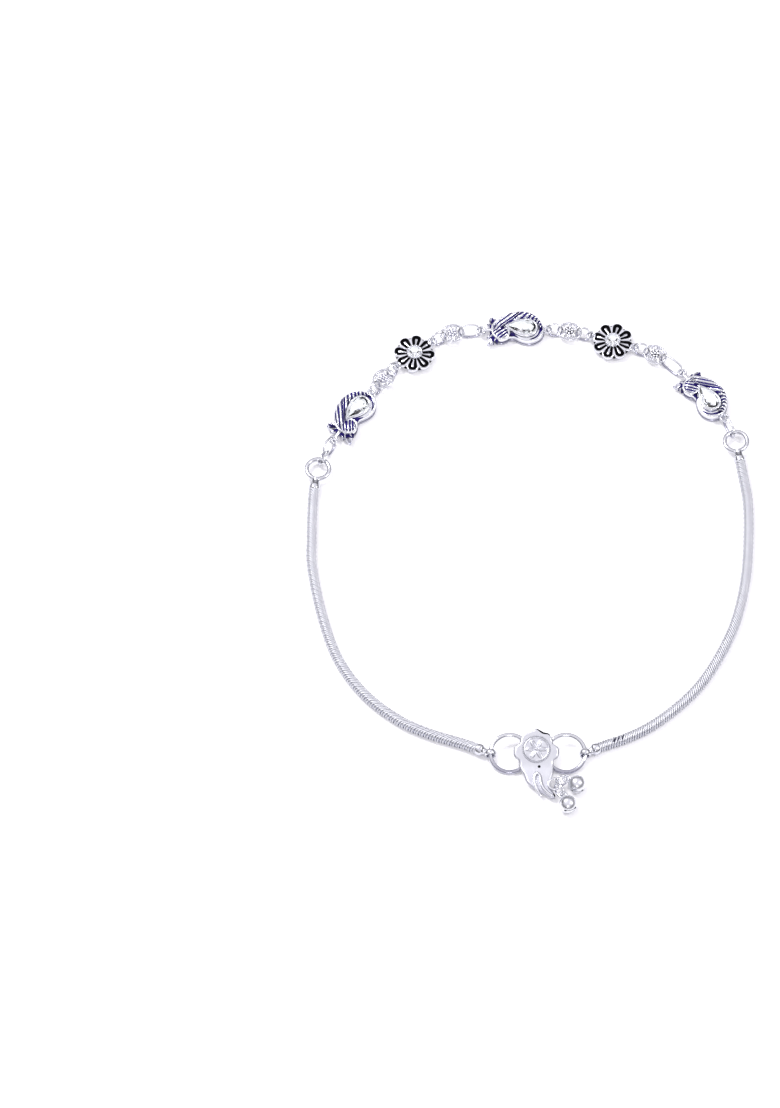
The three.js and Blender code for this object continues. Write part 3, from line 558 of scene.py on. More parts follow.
# Outline corners: share of the length from the tail, share of the width from the axis
PAISLEY_OUTLINE = [
    (0.0, -0.11), (0.03, 0.09), (0.1, 0.26), (0.23, 0.43), (0.39, 0.54), (0.54, 0.567),
    (0.675, 0.545), (0.79, 0.465), (0.89, 0.325), (0.96, 0.17), (1.0, 0.0), (0.985, -0.17),
    (0.9, -0.335), (0.76, -0.425), (0.625, -0.41), (0.51, -0.34), (0.42, -0.27),
    (0.335, -0.28), (0.285, -0.335), (0.17, -0.38), (0.06, -0.295),
]
# Domed back: inner and outer edge of each section, in the same shares
DOME_SECTIONS = [
    (0.2, -0.1, 0.04, -0.05), (0.24, -0.01, 0.065, 0.14), (0.29, 0.07, 0.16, 0.32),
    (0.38, 0.165, 0.33, 0.485), (0.5, 0.25, 0.49, 0.545), (0.63, 0.29, 0.66, 0.532),
    (0.75, 0.26, 0.81, 0.43), (0.84, 0.18, 0.915, 0.265), (0.885, 0.07, 0.97, 0.1),
    (0.9, -0.03, 0.975, -0.04),
]
# Grooves of the back and of the curl: a point of each in the same shares, and its direction
BACK_GROOVES = [
    (0.19, 0.335, 38), (0.27, 0.31, 40), (0.373, 0.284, 38), (0.497, 0.347, 37),
    (0.621, 0.349, 40), (0.719, 0.322, 39), (0.79, 0.273, 45), (0.847, 0.217, 48),
    (0.903, 0.135, 49), (0.935, 0.057, 54), (0.954, -0.014, 58),
]
CURL_GROOVES = [
    (0.066, 0.034, 37), (0.101, -0.034, 37), (0.136, -0.104, 36), (0.203, -0.155, 37),
    (0.235, -0.222, 37), (0.262, -0.286, 37),
]
GROOVE_HALF = 0.14
RIDGE_RISE = 0.16
CURL_SPOT = (0.172, -0.116)
CURL_RADIUS = 1.4
PEAR_SPOT = (0.235, 0.05)
# Side wall: height over the table, and how far it stands in from the outline
WALL = [
    (0, 0.1), (0.06, 0.02), (0.12, -0.04), (0.5, -0.06), (0.58, 0.0), (0.64, 0.06), (0.9, 0.02),
    (1.4, 0.0), (1.72, 0.02), (1.83, 0.06), (WALL_HEIGHT - 0.02, 0.14),
]
# Points given one by one, measured along the paisley from this far off its tail eye
DRAWN_FROM = 5.83
CURL_RIM = [
    (-0.95, -0.3), (-0.68, -0.85), (-0.75, -1.5), (-1.2, -2.05), (-1.9, -2.35), (-2.6, -2.25),
    (-3.25, -1.75), (-3.65, -1.0), (-3.78, -0.15), (-3.52, 0.8), (-2.9, 1.58), (-2.1, 2.3),
    (-1.1, 2.93), (-0.1, 3.3),
]
CURL_END = [(-0.95, -0.3), (-1.1, 0.05), (-1.55, 0.2), (-2.1, 0.1)]
LEAF_RIM = [
    (5.62, 0.15), (5.66, -0.5), (5.5, -1.15), (5.0, -1.9), (4.3, -2.4), (3.5, -2.62), (2.9, -2.55),
]
# Leaves of the calyx: root, bend, tip, half width and height
CALYX_LEAVES = [
    ((-3.25, 0.75), (-3.75, 1.75), (-4.05, 2.75), 0.62, 1.75),
    ((-3.3, -1.2), (-3.9, -2.1), (-4.7, -3.15), 0.66, 1.7),
    ((-3.4, 0.3), (-4.1, 0.95), (-4.75, 1.5), 0.36, 1.6),
    ((-3.4, -0.9), (-4.1, -1.2), (-4.8, -1.45), 0.34, 1.6),
]
CALYX_BED = [
    (-3.0, 1.6), (-3.2, 2.4), (-3.38, 1.95), (-3.65, 2.7), (-3.85, 1.85), (-4.15, 1.2),
    (-4.25, 0.4), (-4.25, -0.4), (-4.2, -1.2), (-4.35, -1.9), (-3.9, -1.9), (-3.6, -2.75),
    (-3.35, -2.2), (-2.9, -2.65), (-2.6, -1.6), (-3.0, 0),
]
# The same, measured from the tail eye itself
CURL_HOLLOW = [
    (4.35, 0.2), (4.8, -0.2), (5.06, -0.8), (5.12, -1.3), (5.02, -1.64), (5.5, -1.7), (6.1, -1.7),
    (6.9, -2.02), (6.3, -1.35), (5.4, -0.7), (4.9, -0.1),
]
NOSE_CRESCENT = [
    (8.9, -2.42), (9.7, -2.15), (10.4, -1.65), (10.8, -1.0), (11.05, -0.45), (11.35, -0.1),
]
# Lip of the cup: share of the way in from its outside to its mouth, and height
CUP_LIP = [(0.12, 2.52), (0.35, 2.63), (0.65, 2.65), (0.9, 2.6), (1.0, 2.5)]


def shares(along, across, height=0.0):
    """A point of the paisley from its shares of length and width."""
    return np.array([PAISLEY_TAIL + along * PAISLEY_LENGTH, across * PAISLEY_WIDTH, height])


def closed_line(points, count):
    """A smooth closed line through a few points."""
    points = np.array(points, float)
    total = len(points)
    line = []
    for spot in np.linspace(0, total, count, endpoint=False):
        i, t = int(spot), spot - int(spot)
        a, b, c, d = (points[(i + k) % total] for k in (-1, 0, 1, 2))
        line.append(0.5 * (2 * b + (c - a) * t + (2 * a - 5 * b + 4 * c - d) * t ** 2
                           + (3 * b - a - 3 * c + d) * t ** 3))
    return np.array(line)


def inset(line, amount):
    """A closed line in plan moved inwards; it runs anticlockwise after this."""
    ahead = np.roll(line, -1, 0) - np.roll(line, 1, 0)
    ahead /= np.linalg.norm(ahead, axis=1, keepdims=True)
    area = np.sum(line[:, 0] * np.roll(line[:, 1], -1) - np.roll(line[:, 0], -1) * line[:, 1])
    normal = np.stack([-ahead[:, 1], ahead[:, 0]], 1) * (1 if area > 0 else -1)
    return line + amount * normal


def slab(line, rows):
    """A plate from a closed plan line: rows of (height, inset), closed below and above."""
    line = np.array(line)[:, :2]
    points = []
    for height, amount in rows:
        moved = inset(line, amount)
        points.append(np.column_stack([moved, np.full(len(line), height)]))
    return np.concatenate(points), ring_faces(len(rows), len(line))


def sheet(grid, low):
    """A closed body under a grid of points: its sides go down to a low level."""
    rows, across = grid.shape[:2]
    points = [p for row in grid for p in row]
    faces = []
    for i in range(rows - 1):
        for k in range(across - 1):
            a = i * across + k
            faces.append((a, a + 1, a + across + 1, a + across))
    edge = ([k for k in range(across)] + [i * across + across - 1 for i in range(1, rows)]
            + [(rows - 1) * across + k for k in range(across - 2, -1, -1)]
            + [i * across for i in range(rows - 2, 0, -1)])
    base = len(points)
    for k in edge:
        points.append((points[k][0], points[k][1], low))
    count = len(edge)
    for k in range(count):
        m = (k + 1) % count
        faces.append((edge[k], edge[m], base + m, base + k))
    faces.append(tuple(base + k for k in range(count)))
    return np.array(points), faces


def pear(length, width, count):
    """Outline of a pear cut: its point at the origin, its round end along +X."""
    angle = spin(count)
    across = np.sin(angle) * np.abs(np.sin(angle / 2)) / 0.77
    return np.stack([length * (1 - np.cos(angle)) / 2, width / 2 * across], 1)


def pear_placed(points):
    """Turns and moves points of the stone and its cup to their place on the paisley."""
    spot = shares(*PEAR_SPOT)
    return turned(points, 0, 0, PEAR_TURN, (spot[0], spot[1], 0))


def chord(edge, mark, angle):
    """Where a line through a mark first meets a closed edge, before and after the mark."""
    way = np.array([math.cos(angle), math.sin(angle)])
    rel = edge - mark
    side = rel[:, 1] * way[0] - rel[:, 0] * way[1]
    along = rel @ way
    next_side, next_along = np.roll(side, -1), np.roll(along, -1)
    cross = side * next_side < 0
    spots = (along + (next_along - along) * side / (side - next_side + 1e-12))[cross]
    before, after = spots[spots < 0], spots[spots > 0]
    if len(before) == 0 or len(after) == 0:
        return None
    return mark + way * before.max(), mark + way * after.min()


def ridges(grooves, edge, surface):
    """Rounded ridges between grooves, cut off at a closed edge and lying on a surface."""
    flat = surface.reshape(-1, 3)
    made = []
    for (a, b, turn), (c, d, next_turn) in zip(grooves, grooves[1:]):
        first, second = shares(a, b)[:2], shares(c, d)[:2]
        normal = np.array([math.sin(math.radians(turn)), -math.cos(math.radians(turn))])
        trim = GROOVE_HALF / abs(float((second - first) @ normal))
        lines = []
        for share in np.linspace(trim, 1 - trim, 9):
            mark = first + (second - first) * share
            angle = math.radians(turn + (next_turn - turn) * share)
            ends = chord(edge, mark, angle)
            if ends is not None:
                lines.append([ends[0] + (ends[1] - ends[0]) * k for k in np.linspace(0, 1, 30)])
        if len(lines) < 4:
            continue
        grid = np.array(lines)
        away = ((grid[:, :, None, :] - flat[None, None, :, :2]) ** 2).sum(-1)
        weight = np.exp(-away / 0.007) + 1e-30
        level = (weight * flat[:, 2]).sum(-1) / weight.sum(-1)
        across = np.linspace(-1, 1, len(lines))[:, None]
        along = np.linspace(-1, 1, 30)[None, :]
        rise = RIDGE_RISE * (1 - np.abs(across) ** 2.6) * (1 - np.abs(along) ** 14)
        made.append(sheet(np.dstack([grid, level + rise]), 1.5))
    return made


def step(low, high, value):
    """Smooth step from 0 at low to 1 at high."""
    t = np.clip((value - low) / (high - low), 0, 1)
    return t * t * (3 - 2 * t)


def drawn(points, height):
    """Given points at a height, measured from the tail eye."""
    return [(x + DRAWN_FROM, y, height) for x, y in points]


def domed_back():
    """Enamelled dome of the back, and the silver ridges on it."""
    count, across = 110, 15
    rows = np.array([np.concatenate([shares(a, b)[:2], shares(c, d)[:2]])
                     for a, b, c, d in DOME_SECTIONS])
    inner = smooth_line(np.column_stack([rows[:, 0:2], 0 * rows[:, 0]]), count)[0]
    outer = smooth_line(np.column_stack([rows[:, 2:4], 0 * rows[:, 0]]), count)[0]
    along = np.linspace(0, 1, count)[:, None]
    share = np.linspace(0, 1, across)[None, :]
    x = inner[:, 0:1] * (1 - share) + outer[:, 0:1] * share
    y = inner[:, 1:2] * (1 - share) + outer[:, 1:2] * share
    swell = (1 - np.abs(2 * share - 1) ** 2.6) ** 0.75
    ends = 0.45 + 0.55 * step(0, 0.12, along) * (1 - 0.75 * step(0.86, 1.0, along))
    dome = np.stack([x, y, WALL_HEIGHT + DOME_HEIGHT * swell * ends], -1)
    edge = np.concatenate([dome[:, 0, :2], dome[::-1, -1, :2]])
    return ridges(BACK_GROOVES, edge, dome), [sheet(dome, 1.5)]


def curled_tail():
    """Hatched disc inside a polished wire that runs on along the back."""
    curl = shares(*CURL_SPOT)
    reach = np.linspace(0, CURL_RADIUS, 10)[:, None]
    angle = np.linspace(0, 2 * math.pi, 61)[None, :]
    bed = np.stack([curl[0] + reach * np.cos(angle), curl[1] + reach * np.sin(angle),
                    WALL_HEIGHT + 0.1 + 0.3 * (1 - (reach / 1.5) ** 2) + 0 * angle], -1)
    disc = (bed[1:, :-1].reshape(-1, 3), ring_faces(len(bed) - 1, 60))
    line = smooth_line(drawn(CURL_RIM, WALL_HEIGHT + 0.28), 90)[0]
    line[:, 2] -= 0.12 * step(0.55, 1, np.linspace(0, 1, 90))
    rim = tapered(line, [0, 0.03, 0.1, 0.6, 0.85, 1], [0.08, 0.18, 0.22, 0.2, 0.13, 0.03], 12)
    line = smooth_line(drawn(CURL_END, WALL_HEIGHT + 0.3), 24)[0]
    return (ridges(CURL_GROOVES, bed[-1, :-1, :2], bed)
            + [rim, tapered(line, [0, 1], [0.2, 0.04])]), [disc]


def calyx_leaf(root, bend, tip, half_width, height):
    """One leaf of the calyx, hollowed down towards its tip."""
    spread = np.linspace(0, 1, 22)
    root, bend, tip = (np.array(spot) for spot in (root, bend, tip))
    mid = (((1 - spread) ** 2)[:, None] * root + (2 * spread * (1 - spread))[:, None] * bend
           + (spread ** 2)[:, None] * tip)
    ahead = np.gradient(mid, axis=0)
    ahead /= np.linalg.norm(ahead, axis=1, keepdims=True)
    side = np.stack([-ahead[:, 1], ahead[:, 0]], 1)
    width = half_width * np.interp(spread, [0, 0.3, 0.6, 0.85, 1], [0.75, 1, 0.9, 0.5, 0.03])
    rows = []
    for across in np.linspace(-1, 1, 9):
        level = height - 0.55 * spread ** 2 - 0.3 * (1 - abs(across)) ** 1.5
        spot = mid + side * (width * across)[:, None]
        rows.append(np.column_stack([spot[:, 0] + DRAWN_FROM, spot[:, 1], level]))
    return sheet(np.stack(rows, 0), 0.7)


def stone_cup():
    """Plain bezel with a rounded lip, open down to the stone's foil."""
    cup = pear(PEAR_LENGTH + 2 * BEZEL_WALL + 0.12, PEAR_WIDTH + 2 * BEZEL_WALL, 96)
    mouth = pear(PEAR_LENGTH, PEAR_WIDTH, 96) + np.array([BEZEL_WALL * 1.25, 0])
    rows = [(cup, 0.3), (cup, 2.35)]
    rows += [(cup * (1 - share) + mouth * share, height) for share, height in CUP_LIP]
    rows.append((mouth, 1.62))
    points = np.concatenate([np.column_stack([line, np.full(96, height)]) for line, height in rows])
    return pear_placed(points), ring_faces(len(rows), 96)


def enamel_lines(outline):
    """Enamel beside the curl, in the tail's lower groove and in the crescent of the nose."""
    hollow = slab(closed_line(CURL_HOLLOW, 60),
                  [(1.7, 0), (WALL_HEIGHT, 0.0), (WALL_HEIGHT + 0.02, 0.02)])
    under = outline[(outline[:, 1] < -0.6) & (outline[:, 0] > 2.6) & (outline[:, 0] < 5.6)]
    under = under[under[:, 0].argsort()][::2] + np.array([0, 0.02])
    line = smooth_line(np.column_stack([under, np.full(len(under), 1.05)]), 60)[0]
    groove = tube(line, 0.09 * np.sin(np.linspace(0.2, math.pi - 0.2, 60)) ** 0.5, 8)
    line = smooth_line([(x, y, 1.88) for x, y in NOSE_CRESCENT], 40)[0]
    crescent = tapered(line, [0, 0.15, 0.6, 0.9, 1], [0.03, 0.15, 0.15, 0.24, 0.1], flat=0.35)
    return [hollow, groove, crescent]


def paisley_parts():
    """Silver and enamel parts of one paisley, its tail eye at the origin and its nose along +X."""
    outline = closed_line([shares(a, b)[:2] for a, b in PAISLEY_OUTLINE], 168)
    back, dome = domed_back()
    tail, disc = curled_tail()
    leaf_rim = tapered(smooth_line(drawn(LEAF_RIM, WALL_HEIGHT + 0.08), 44)[0],
                       [0, 0.2, 0.7, 1], [0.1, 0.22, 0.2, 0.04])
    eyes = [hoop(EYE_RADIUS, EYE_WIRE, (x, 0, EYE_HEIGHT)) for x in (0, PAISLEY_PITCH)]
    neck = np.linspace(EYE_RADIUS, PAISLEY_TAIL + 0.3, 12)
    neck = tube(np.stack([neck, 0 * neck, EYE_HEIGHT + 0 * neck], 1),
                np.linspace(0.3, 0.5, 12), 14)
    metal = [slab(outline, WALL), *back, *tail, leaf_rim,
             *(calyx_leaf(*leaf) for leaf in CALYX_LEAVES), stone_cup(), *eyes, neck]
    bed = closed_line([(x, y) for x, y, _ in drawn(CALYX_BED, 0)], 96)
    enamel = [*dome, *disc, slab(bed, [(0.6, 0.0), (1.5, 0), (1.58, 0.0)]),
              *enamel_lines(outline)]
    return metal, enamel


# Translucent blue-violet enamel
ENAMEL = mottled("blue_enamel", (0.003, 0.0015, 0.035), (0.02, 0.009, 0.18), 700,
                 {"Roughness": 0.3, "Specular IOR Level": 0.14}, 3, (0.3, 0.72))
CAST_SILVER = silver("cast_silver", bright=0.9, tarnish=0.25, low=0.9, polish=0.14)
PAISLEY_METAL, PAISLEY_ENAMEL = paisley_parts()


def paisley_start(node, heading):
    """Where the tail eye of a paisley lies, from the far edge of its nose eye."""
    corners = turned(cad_points(node), 0, 0, -heading)
    nose = corners[corners[:, 0].argmax()]
    spot = np.array([nose[0] - PAISLEY_PITCH - EYE_RADIUS - EYE_WIRE / 2, nose[1], 0])
    return turned([spot], 0, 0, heading)[0]


for paisley in PAISLEYS:
    paisley["start"] = paisley_start(paisley["node"], paisley["heading"])
    casting(paisley["node"], (("_casting", PAISLEY_METAL, CAST_SILVER, "silver"),
                              ("_enamel", PAISLEY_ENAMEL, ENAMEL, "blue_enamel")),
            paisley["heading"], paisley["start"], 44)


# Pear stones: clear cut glass stones with a flat table and crown facets, set in the paisleys'
# cups over a foil that glows with painted light, with dark marks in them near the round end that
# are painted reflections of dark surroundings.

STONE_GAP = 0.08
CROWN_HEIGHT = 0.42
PEAR_DEPTH = 0.56
ROUND_DEPTH = 0.4
STONE = mottled("clear_stone", (0.96, 0.98, 0.975), (0.99, 0.99, 1.0), 500,
                {"Roughness": 0.02, "IOR": 1.5, "Transmission Weight": 1.0})
REFLECTION_BLACK = oxide_and_shade("painted_reflection_black", (0.004, 0.004, 0.006), 0.4)
GLOWING_FOIL = silver("foil", bright=0.98, tarnish=0.05, low=0.0, polish=0.5, bump=0.3)
# The foil glows: painted light in place of the light that would reach it through the stone
feed(GLOWING_FOIL.node_tree, GLOWING_FOIL.node_tree.nodes["Principled BSDF"], {
    "Metallic": 0.0, "Emission Color": (0.96, 1, 0.97, 1), "Emission Strength": 0.38})
# Painted reflections of dark surroundings, as dark marks just under the crown: points along and
# across the stone, half their width
STONE_REFLECTION_MARKS = [
    ([(5.2, 1.05), (5.55, 0.7), (5.7, 0.2), (5.6, -0.3), (5.3, -0.75), (4.9, -1.0)], 0.17),
    ([(4.95, 0.75), (5.25, 0.6), (5.5, 0.35)], 0.11),
    ([(3.7, 1.3), (4.1, 1.33), (4.6, 1.3)], 0.09),
    ([(3.5, -0.72), (3.8, -0.86), (4.15, -0.95)], 0.11),
    ([(4.5, -0.5), (4.8, -0.45)], 0.07),
]


def cut_stone(outline, centre, girdle, depth, turn=0.5):
    """A stone with a table, star and kite facets, a girdle and a blunt pavilion."""
    count = len(outline)
    centre = np.array(centre, float)

    def level(share, height, shift=0.0):
        ring = outline
        if shift:
            ring = (outline + np.roll(outline, -1, 0)) / 2 * 1.01
        spot = centre + (ring - centre) * share
        return np.column_stack([spot, np.full(count, height)])

    rows = [level(0.18, girdle - depth), level(0.97, girdle - 0.06), level(1, girdle),
            level(1, girdle + 0.04), level(0.8, girdle + CROWN_HEIGHT * 0.62, turn),
            level(0.6, girdle + CROWN_HEIGHT)]
    points = np.concatenate(rows)
    faces = [tuple(reversed(range(count)))]
    for i in range(5):
        for k in range(count):
            m = (k + 1) % count
            a, b, c, d = i * count + k, i * count + m, (i + 1) * count + m, (i + 1) * count + k
            if i < 3:
                faces.append((a, b, c, d))
            elif i == 3:
                faces += [(a, b, d), (b, c, d)]
            else:
                faces += [(a, c, d), (a, b, c)]
    faces.append(tuple(range(5 * count, 6 * count)))
    return points, faces


def on_paisley(part, paisley):
    """A part of a stone or its bed, set in its place on one paisley."""
    return fitted(part, lambda points: turned(pear_placed(points), 0, 0, paisley["heading"],
                                              paisley["start"]))


for paisley in PAISLEYS:
    shape = pear(PEAR_LENGTH - 4 * STONE_GAP, PEAR_WIDTH - 2 * STONE_GAP, 16)
    shape = shape + np.array([BEZEL_WALL * 1.25 + 2 * STONE_GAP, 0])
    stone = cut_stone(shape, (PEAR_LENGTH * 0.6, 0), BEZEL_HEIGHT - 0.12, PEAR_DEPTH)
    piece(paisley["stone"] + "_cut", [on_paisley(stone, paisley)], STONE, [paisley["stone"]],
          2)
    bed = pear(PEAR_LENGTH - 0.06, PEAR_WIDTH - 0.06, 64) + np.array([BEZEL_WALL * 1.25, 0])
    foil = slab(bed, [(1.8, 0), (1.92, 0), (1.93, 0.03)])
    piece(paisley["stone"] + "_foil", [on_paisley(foil, paisley)], GLOWING_FOIL, [])
    # Painted reflections: dark marks inside each stone, just under its crown
    marks = []
    for line, half in STONE_REFLECTION_MARKS:
        path = smooth_line([(x, y, BEZEL_HEIGHT - 0.04) for x, y in line], 24)[0]
        thick = half * np.sin(np.linspace(0.25, math.pi - 0.25, 24)) ** 0.6
        marks.append(on_paisley(tube(path, thick, 8, flat=0.12), paisley))
    piece(paisley["stone"] + "_marks", marks, REFLECTION_BLACK, [])


# Flowers: flat silver castings of eight petals, each a polished rim round a blackened groove
# with a bright tongue in it, and a beaded cup in the middle that holds a round stone. A black
# disc under the petals is painted shade between them.

FLOWER_RADIUS = 3.85
FLOWER_BASE = 0.7
FLOWER_TOP = 1.65
FLOWER_EYES = 4.2
PETALS = 8
PETAL_TIP = 1.2
PETAL_ROOT = 0.42
ROUND_STONE = 2.1
ROUND_GIRDLE = 2.1
# Groove and tongue of a petal: middle and radius of the root's circle, then of the tip's
PETAL_GROOVE = (1.3, 0.44, 2.9, 0.82)
PETAL_TONGUE = (1.3, 0.1, 2.84, 0.25)
GROOVE_DEPTH = 0.32
# Start of a petal's root, and reach of the black disc that is painted shade between the petals
PETAL_START = 1.15
NOTCH_SHADE_RADIUS = 3.5
# Side of the flower: height, and how far it stands in from the outline
FLOWER_WALL = [
    (FLOWER_BASE, 0.14), (0.8, 0.0), (1.05, -0.05), (1.35, -0.03), (FLOWER_TOP - 0.1, 0.02),
    (FLOWER_TOP - 0.03, 0.07), (FLOWER_TOP, 0.13),
]
# Cup of the round stone: height and radius, and the beads on its outer rim
FLOWER_CUP = [
    (1.6, 1.45), (1.9, 1.43), (2.06, 1.36), (2.1, 1.27), (2.04, 1.2), (2.16, 1.16),
    (2.2, 1.11), (2.16, 1.06), (1.3, 1.04),
]
CUP_BEADS = 22
CUP_BEAD_SPOT = (1.36, 2.02)
FLOWERS = [
    {"node": "flower_1", "stone": "round_stone_1", "heading": 38},
    {"node": "flower_2", "stone": "round_stone_2", "heading": -18},
]


def petal_distance(along, across):
    """Distance to a petal's edge, below 0 inside: two joined circles of different size."""
    root, tip = PETAL_ROOT, PETAL_TIP
    start, span = PETAL_START, FLOWER_RADIUS - PETAL_TIP - PETAL_START
    x, y = np.abs(across), along - start
    slope = (root - tip) / span
    rise = math.sqrt(1 - slope * slope)
    turn = -x * slope + y * rise
    lower = np.hypot(x, y) - root
    upper = np.hypot(x, y - span) - tip
    side = x * rise + y * slope - root
    return np.where(turn < 0, lower, np.where(turn > rise * span, upper, side))


def petal_line(root, root_radius, tip, tip_radius):
    """Outline round a petal's two circles, along +X."""
    lean = math.pi / 2 + math.asin((tip_radius - root_radius) / (tip - root))
    far = np.linspace(-lean, lean, 28)
    near = np.linspace(lean, 2 * math.pi - lean, 12)[1:-1]
    return np.concatenate([polar(tip_radius, far) + (tip, 0),
                           polar(root_radius, near) + (root, 0)])


def pierced(outline, rows, holes, floor):
    """A plate with rounded pits: its outline, its rows of (height, inset), pits and their floor."""
    count = len(outline)
    top = rows[-1][0]
    points = [np.column_stack([inset(outline, amount), np.full(count, z)]) for z, amount in rows]
    faces = ring_faces(len(rows), count)[:-1]
    first = len(rows) * count
    loops = [[Vector(p) for p in points[-1]]]
    keys = list(range((len(rows) - 1) * count, len(rows) * count))
    for hole in holes:
        sides = len(hole)
        for k, (z, amount) in enumerate(((floor, 0), (top - 0.07, 0), (top, -0.05))):
            points.append(np.column_stack([inset(hole, amount), np.full(sides, z)]))
        faces += [tuple(first + k for k in face) for face in ring_faces(3, sides)[:-1]]
        loops.append([Vector(p) for p in points[-1]])
        keys += list(range(first + 2 * sides, first + 3 * sides))
        first += 3 * sides
    faces += [tuple(keys[k] for k in three) for three in tessellate_polygon(loops)]
    return np.concatenate(points), faces


def flower_parts():
    """Silver and blackened parts of one flower, with a black disc of painted shade under the
    petals, its middle at the origin.
    """
    around = 240
    angle = spin(around)
    sector = 2 * math.pi / PETALS
    off = (angle + sector / 2) % sector - sector / 2
    reach = np.full(around, 4.0)
    for _ in range(40):
        away = petal_distance(reach * np.cos(off), reach * np.sin(off))
        reach = reach - 0.6 * away
    outline = polar(reach, angle)
    turns = [np.degrees(sector * k) for k in range(PETALS)]

    def flat_turn(line, turn):
        return turned(np.column_stack([line, np.zeros(len(line))]), 0, 0, turn)[:, :2]

    pits = [flat_turn(petal_line(*PETAL_GROOVE), turn) for turn in turns]
    pit_floor = FLOWER_TOP - GROOVE_DEPTH
    metal = [pierced(outline, FLOWER_WALL, pits, pit_floor)]
    dark = []
    for turn in turns:
        wide = flat_turn(inset(petal_line(*PETAL_GROOVE), -0.03), turn)
        dark.append(slab(wide, [(pit_floor - 0.1, 0), (pit_floor + 0.05, 0)]))
        tongue = flat_turn(petal_line(*PETAL_TONGUE), turn)
        metal.append(slab(tongue, [(pit_floor, 0), (FLOWER_TOP - 0.12, 0),
                                   (FLOWER_TOP - 0.05, 0.03), (FLOWER_TOP - 0.02, 0.08)]))
    # Black disc under the petals: painted shade seen between them
    dark.append(slab(polar(NOTCH_SHADE_RADIUS, spin(96)), [(0.85, 0.1), (1.2, 0.0)]))

    # Cup with two rims, the outer one of small beads
    rows = [polar(radius, spin(96), height) for height, radius in FLOWER_CUP]
    metal.append((np.concatenate(rows), ring_faces(len(rows), 96)))
    metal += beads(polar(CUP_BEAD_SPOT[0], spin(CUP_BEADS), CUP_BEAD_SPOT[1]), 0.17, 10, 6)

    for x in (-FLOWER_EYES, FLOWER_EYES):
        metal.append(hoop(EYE_RADIUS, EYE_WIRE, (x, 0, EYE_HEIGHT)))
    return metal, dark


def ball(centre, radius, around=16, rows=10):
    """A small round bead."""
    levels = [math.pi * i / rows for i in range(1, rows)]
    points = [polar(radius * math.sin(level), spin(around), radius * math.cos(level))
              for level in levels]
    return np.concatenate(points) + np.array(centre), ring_faces(rows - 1, around)


def beads(centres, radius, around, rows):
    """A bead at each of a few points."""
    return [ball(centre, radius, around, rows) for centre in centres]


FLOWER_METAL, FLOWER_DARK = flower_parts()
# Black of the flowers' blackened grooves, also painted shade under the petals, under two links'
# heads and in the clasp's dark marks
GROOVE_AND_SHADE_BLACK = oxide_and_shade("groove_and_shade_black", (0.001, 0.001, 0.0015), 0.8)

for flower in FLOWERS:
    spot = middle(flower["node"])
    spot[2] = 0
    casting(flower["node"], (("_casting", FLOWER_METAL, CAST_SILVER, "silver"),
                             ("_grooves_and_shade", FLOWER_DARK, GROOVE_AND_SHADE_BLACK, "oxidised_silver")),
            flower["heading"], spot, 44)
    shape = polar(ROUND_STONE / 2 - STONE_GAP, spin(16))
    points, faces = cut_stone(shape, (0, 0), ROUND_GIRDLE, ROUND_DEPTH)
    piece(flower["stone"] + "_cut", [(points + spot, faces)], STONE, [flower["stone"]],
          2)
    points, faces = slab(shape, [(1.6, 0), (1.67, 0)])
    piece(flower["stone"] + "_foil", [(points + spot, faces)], GLOWING_FOIL, [])


# Scroll links: cast oval frames with a beaded edge, four wire curls and a small six-petal head
# with a dark disc under it that is painted shade in its hollows.

LINK_PITCH = 2.7
LINK_HALF_WIDTH = 1.75
LINK_RIM = 0.45
LINK_HOLE = 0.78
LINK_BEADS = 30
CURL_WIRE = 0.26
HEART_WIRE = 0.28
HEAD_REACH = 0.58
HEAD_HOLLOW = 0.8
# A curl: its middle, its radius, the share of that lost on the way in, and its turns
CURL = {"spot": (0.56, 0.98), "radius": 0.52, "loss": 0.72, "turns": 1.075}
# Side of a heart: along and across the link, and rise over the frame
HEART = [(0.15, 0.5, 0), (0.75, 0.45, 0.1), (1.05, 0.75, 0.1), (1.25, 1.25, 0)]
# dark: whether the painted shade under a link's head is black rather than grey
LINKS = [
    {"node": "scroll_link_a", "heading": 52, "dark": False},
    {"node": "scroll_link_b", "heading": 17, "dark": False},
    {"node": "scroll_link_c", "heading": -9, "dark": True},
    {"node": "scroll_link_d", "heading": -28, "dark": True},
]


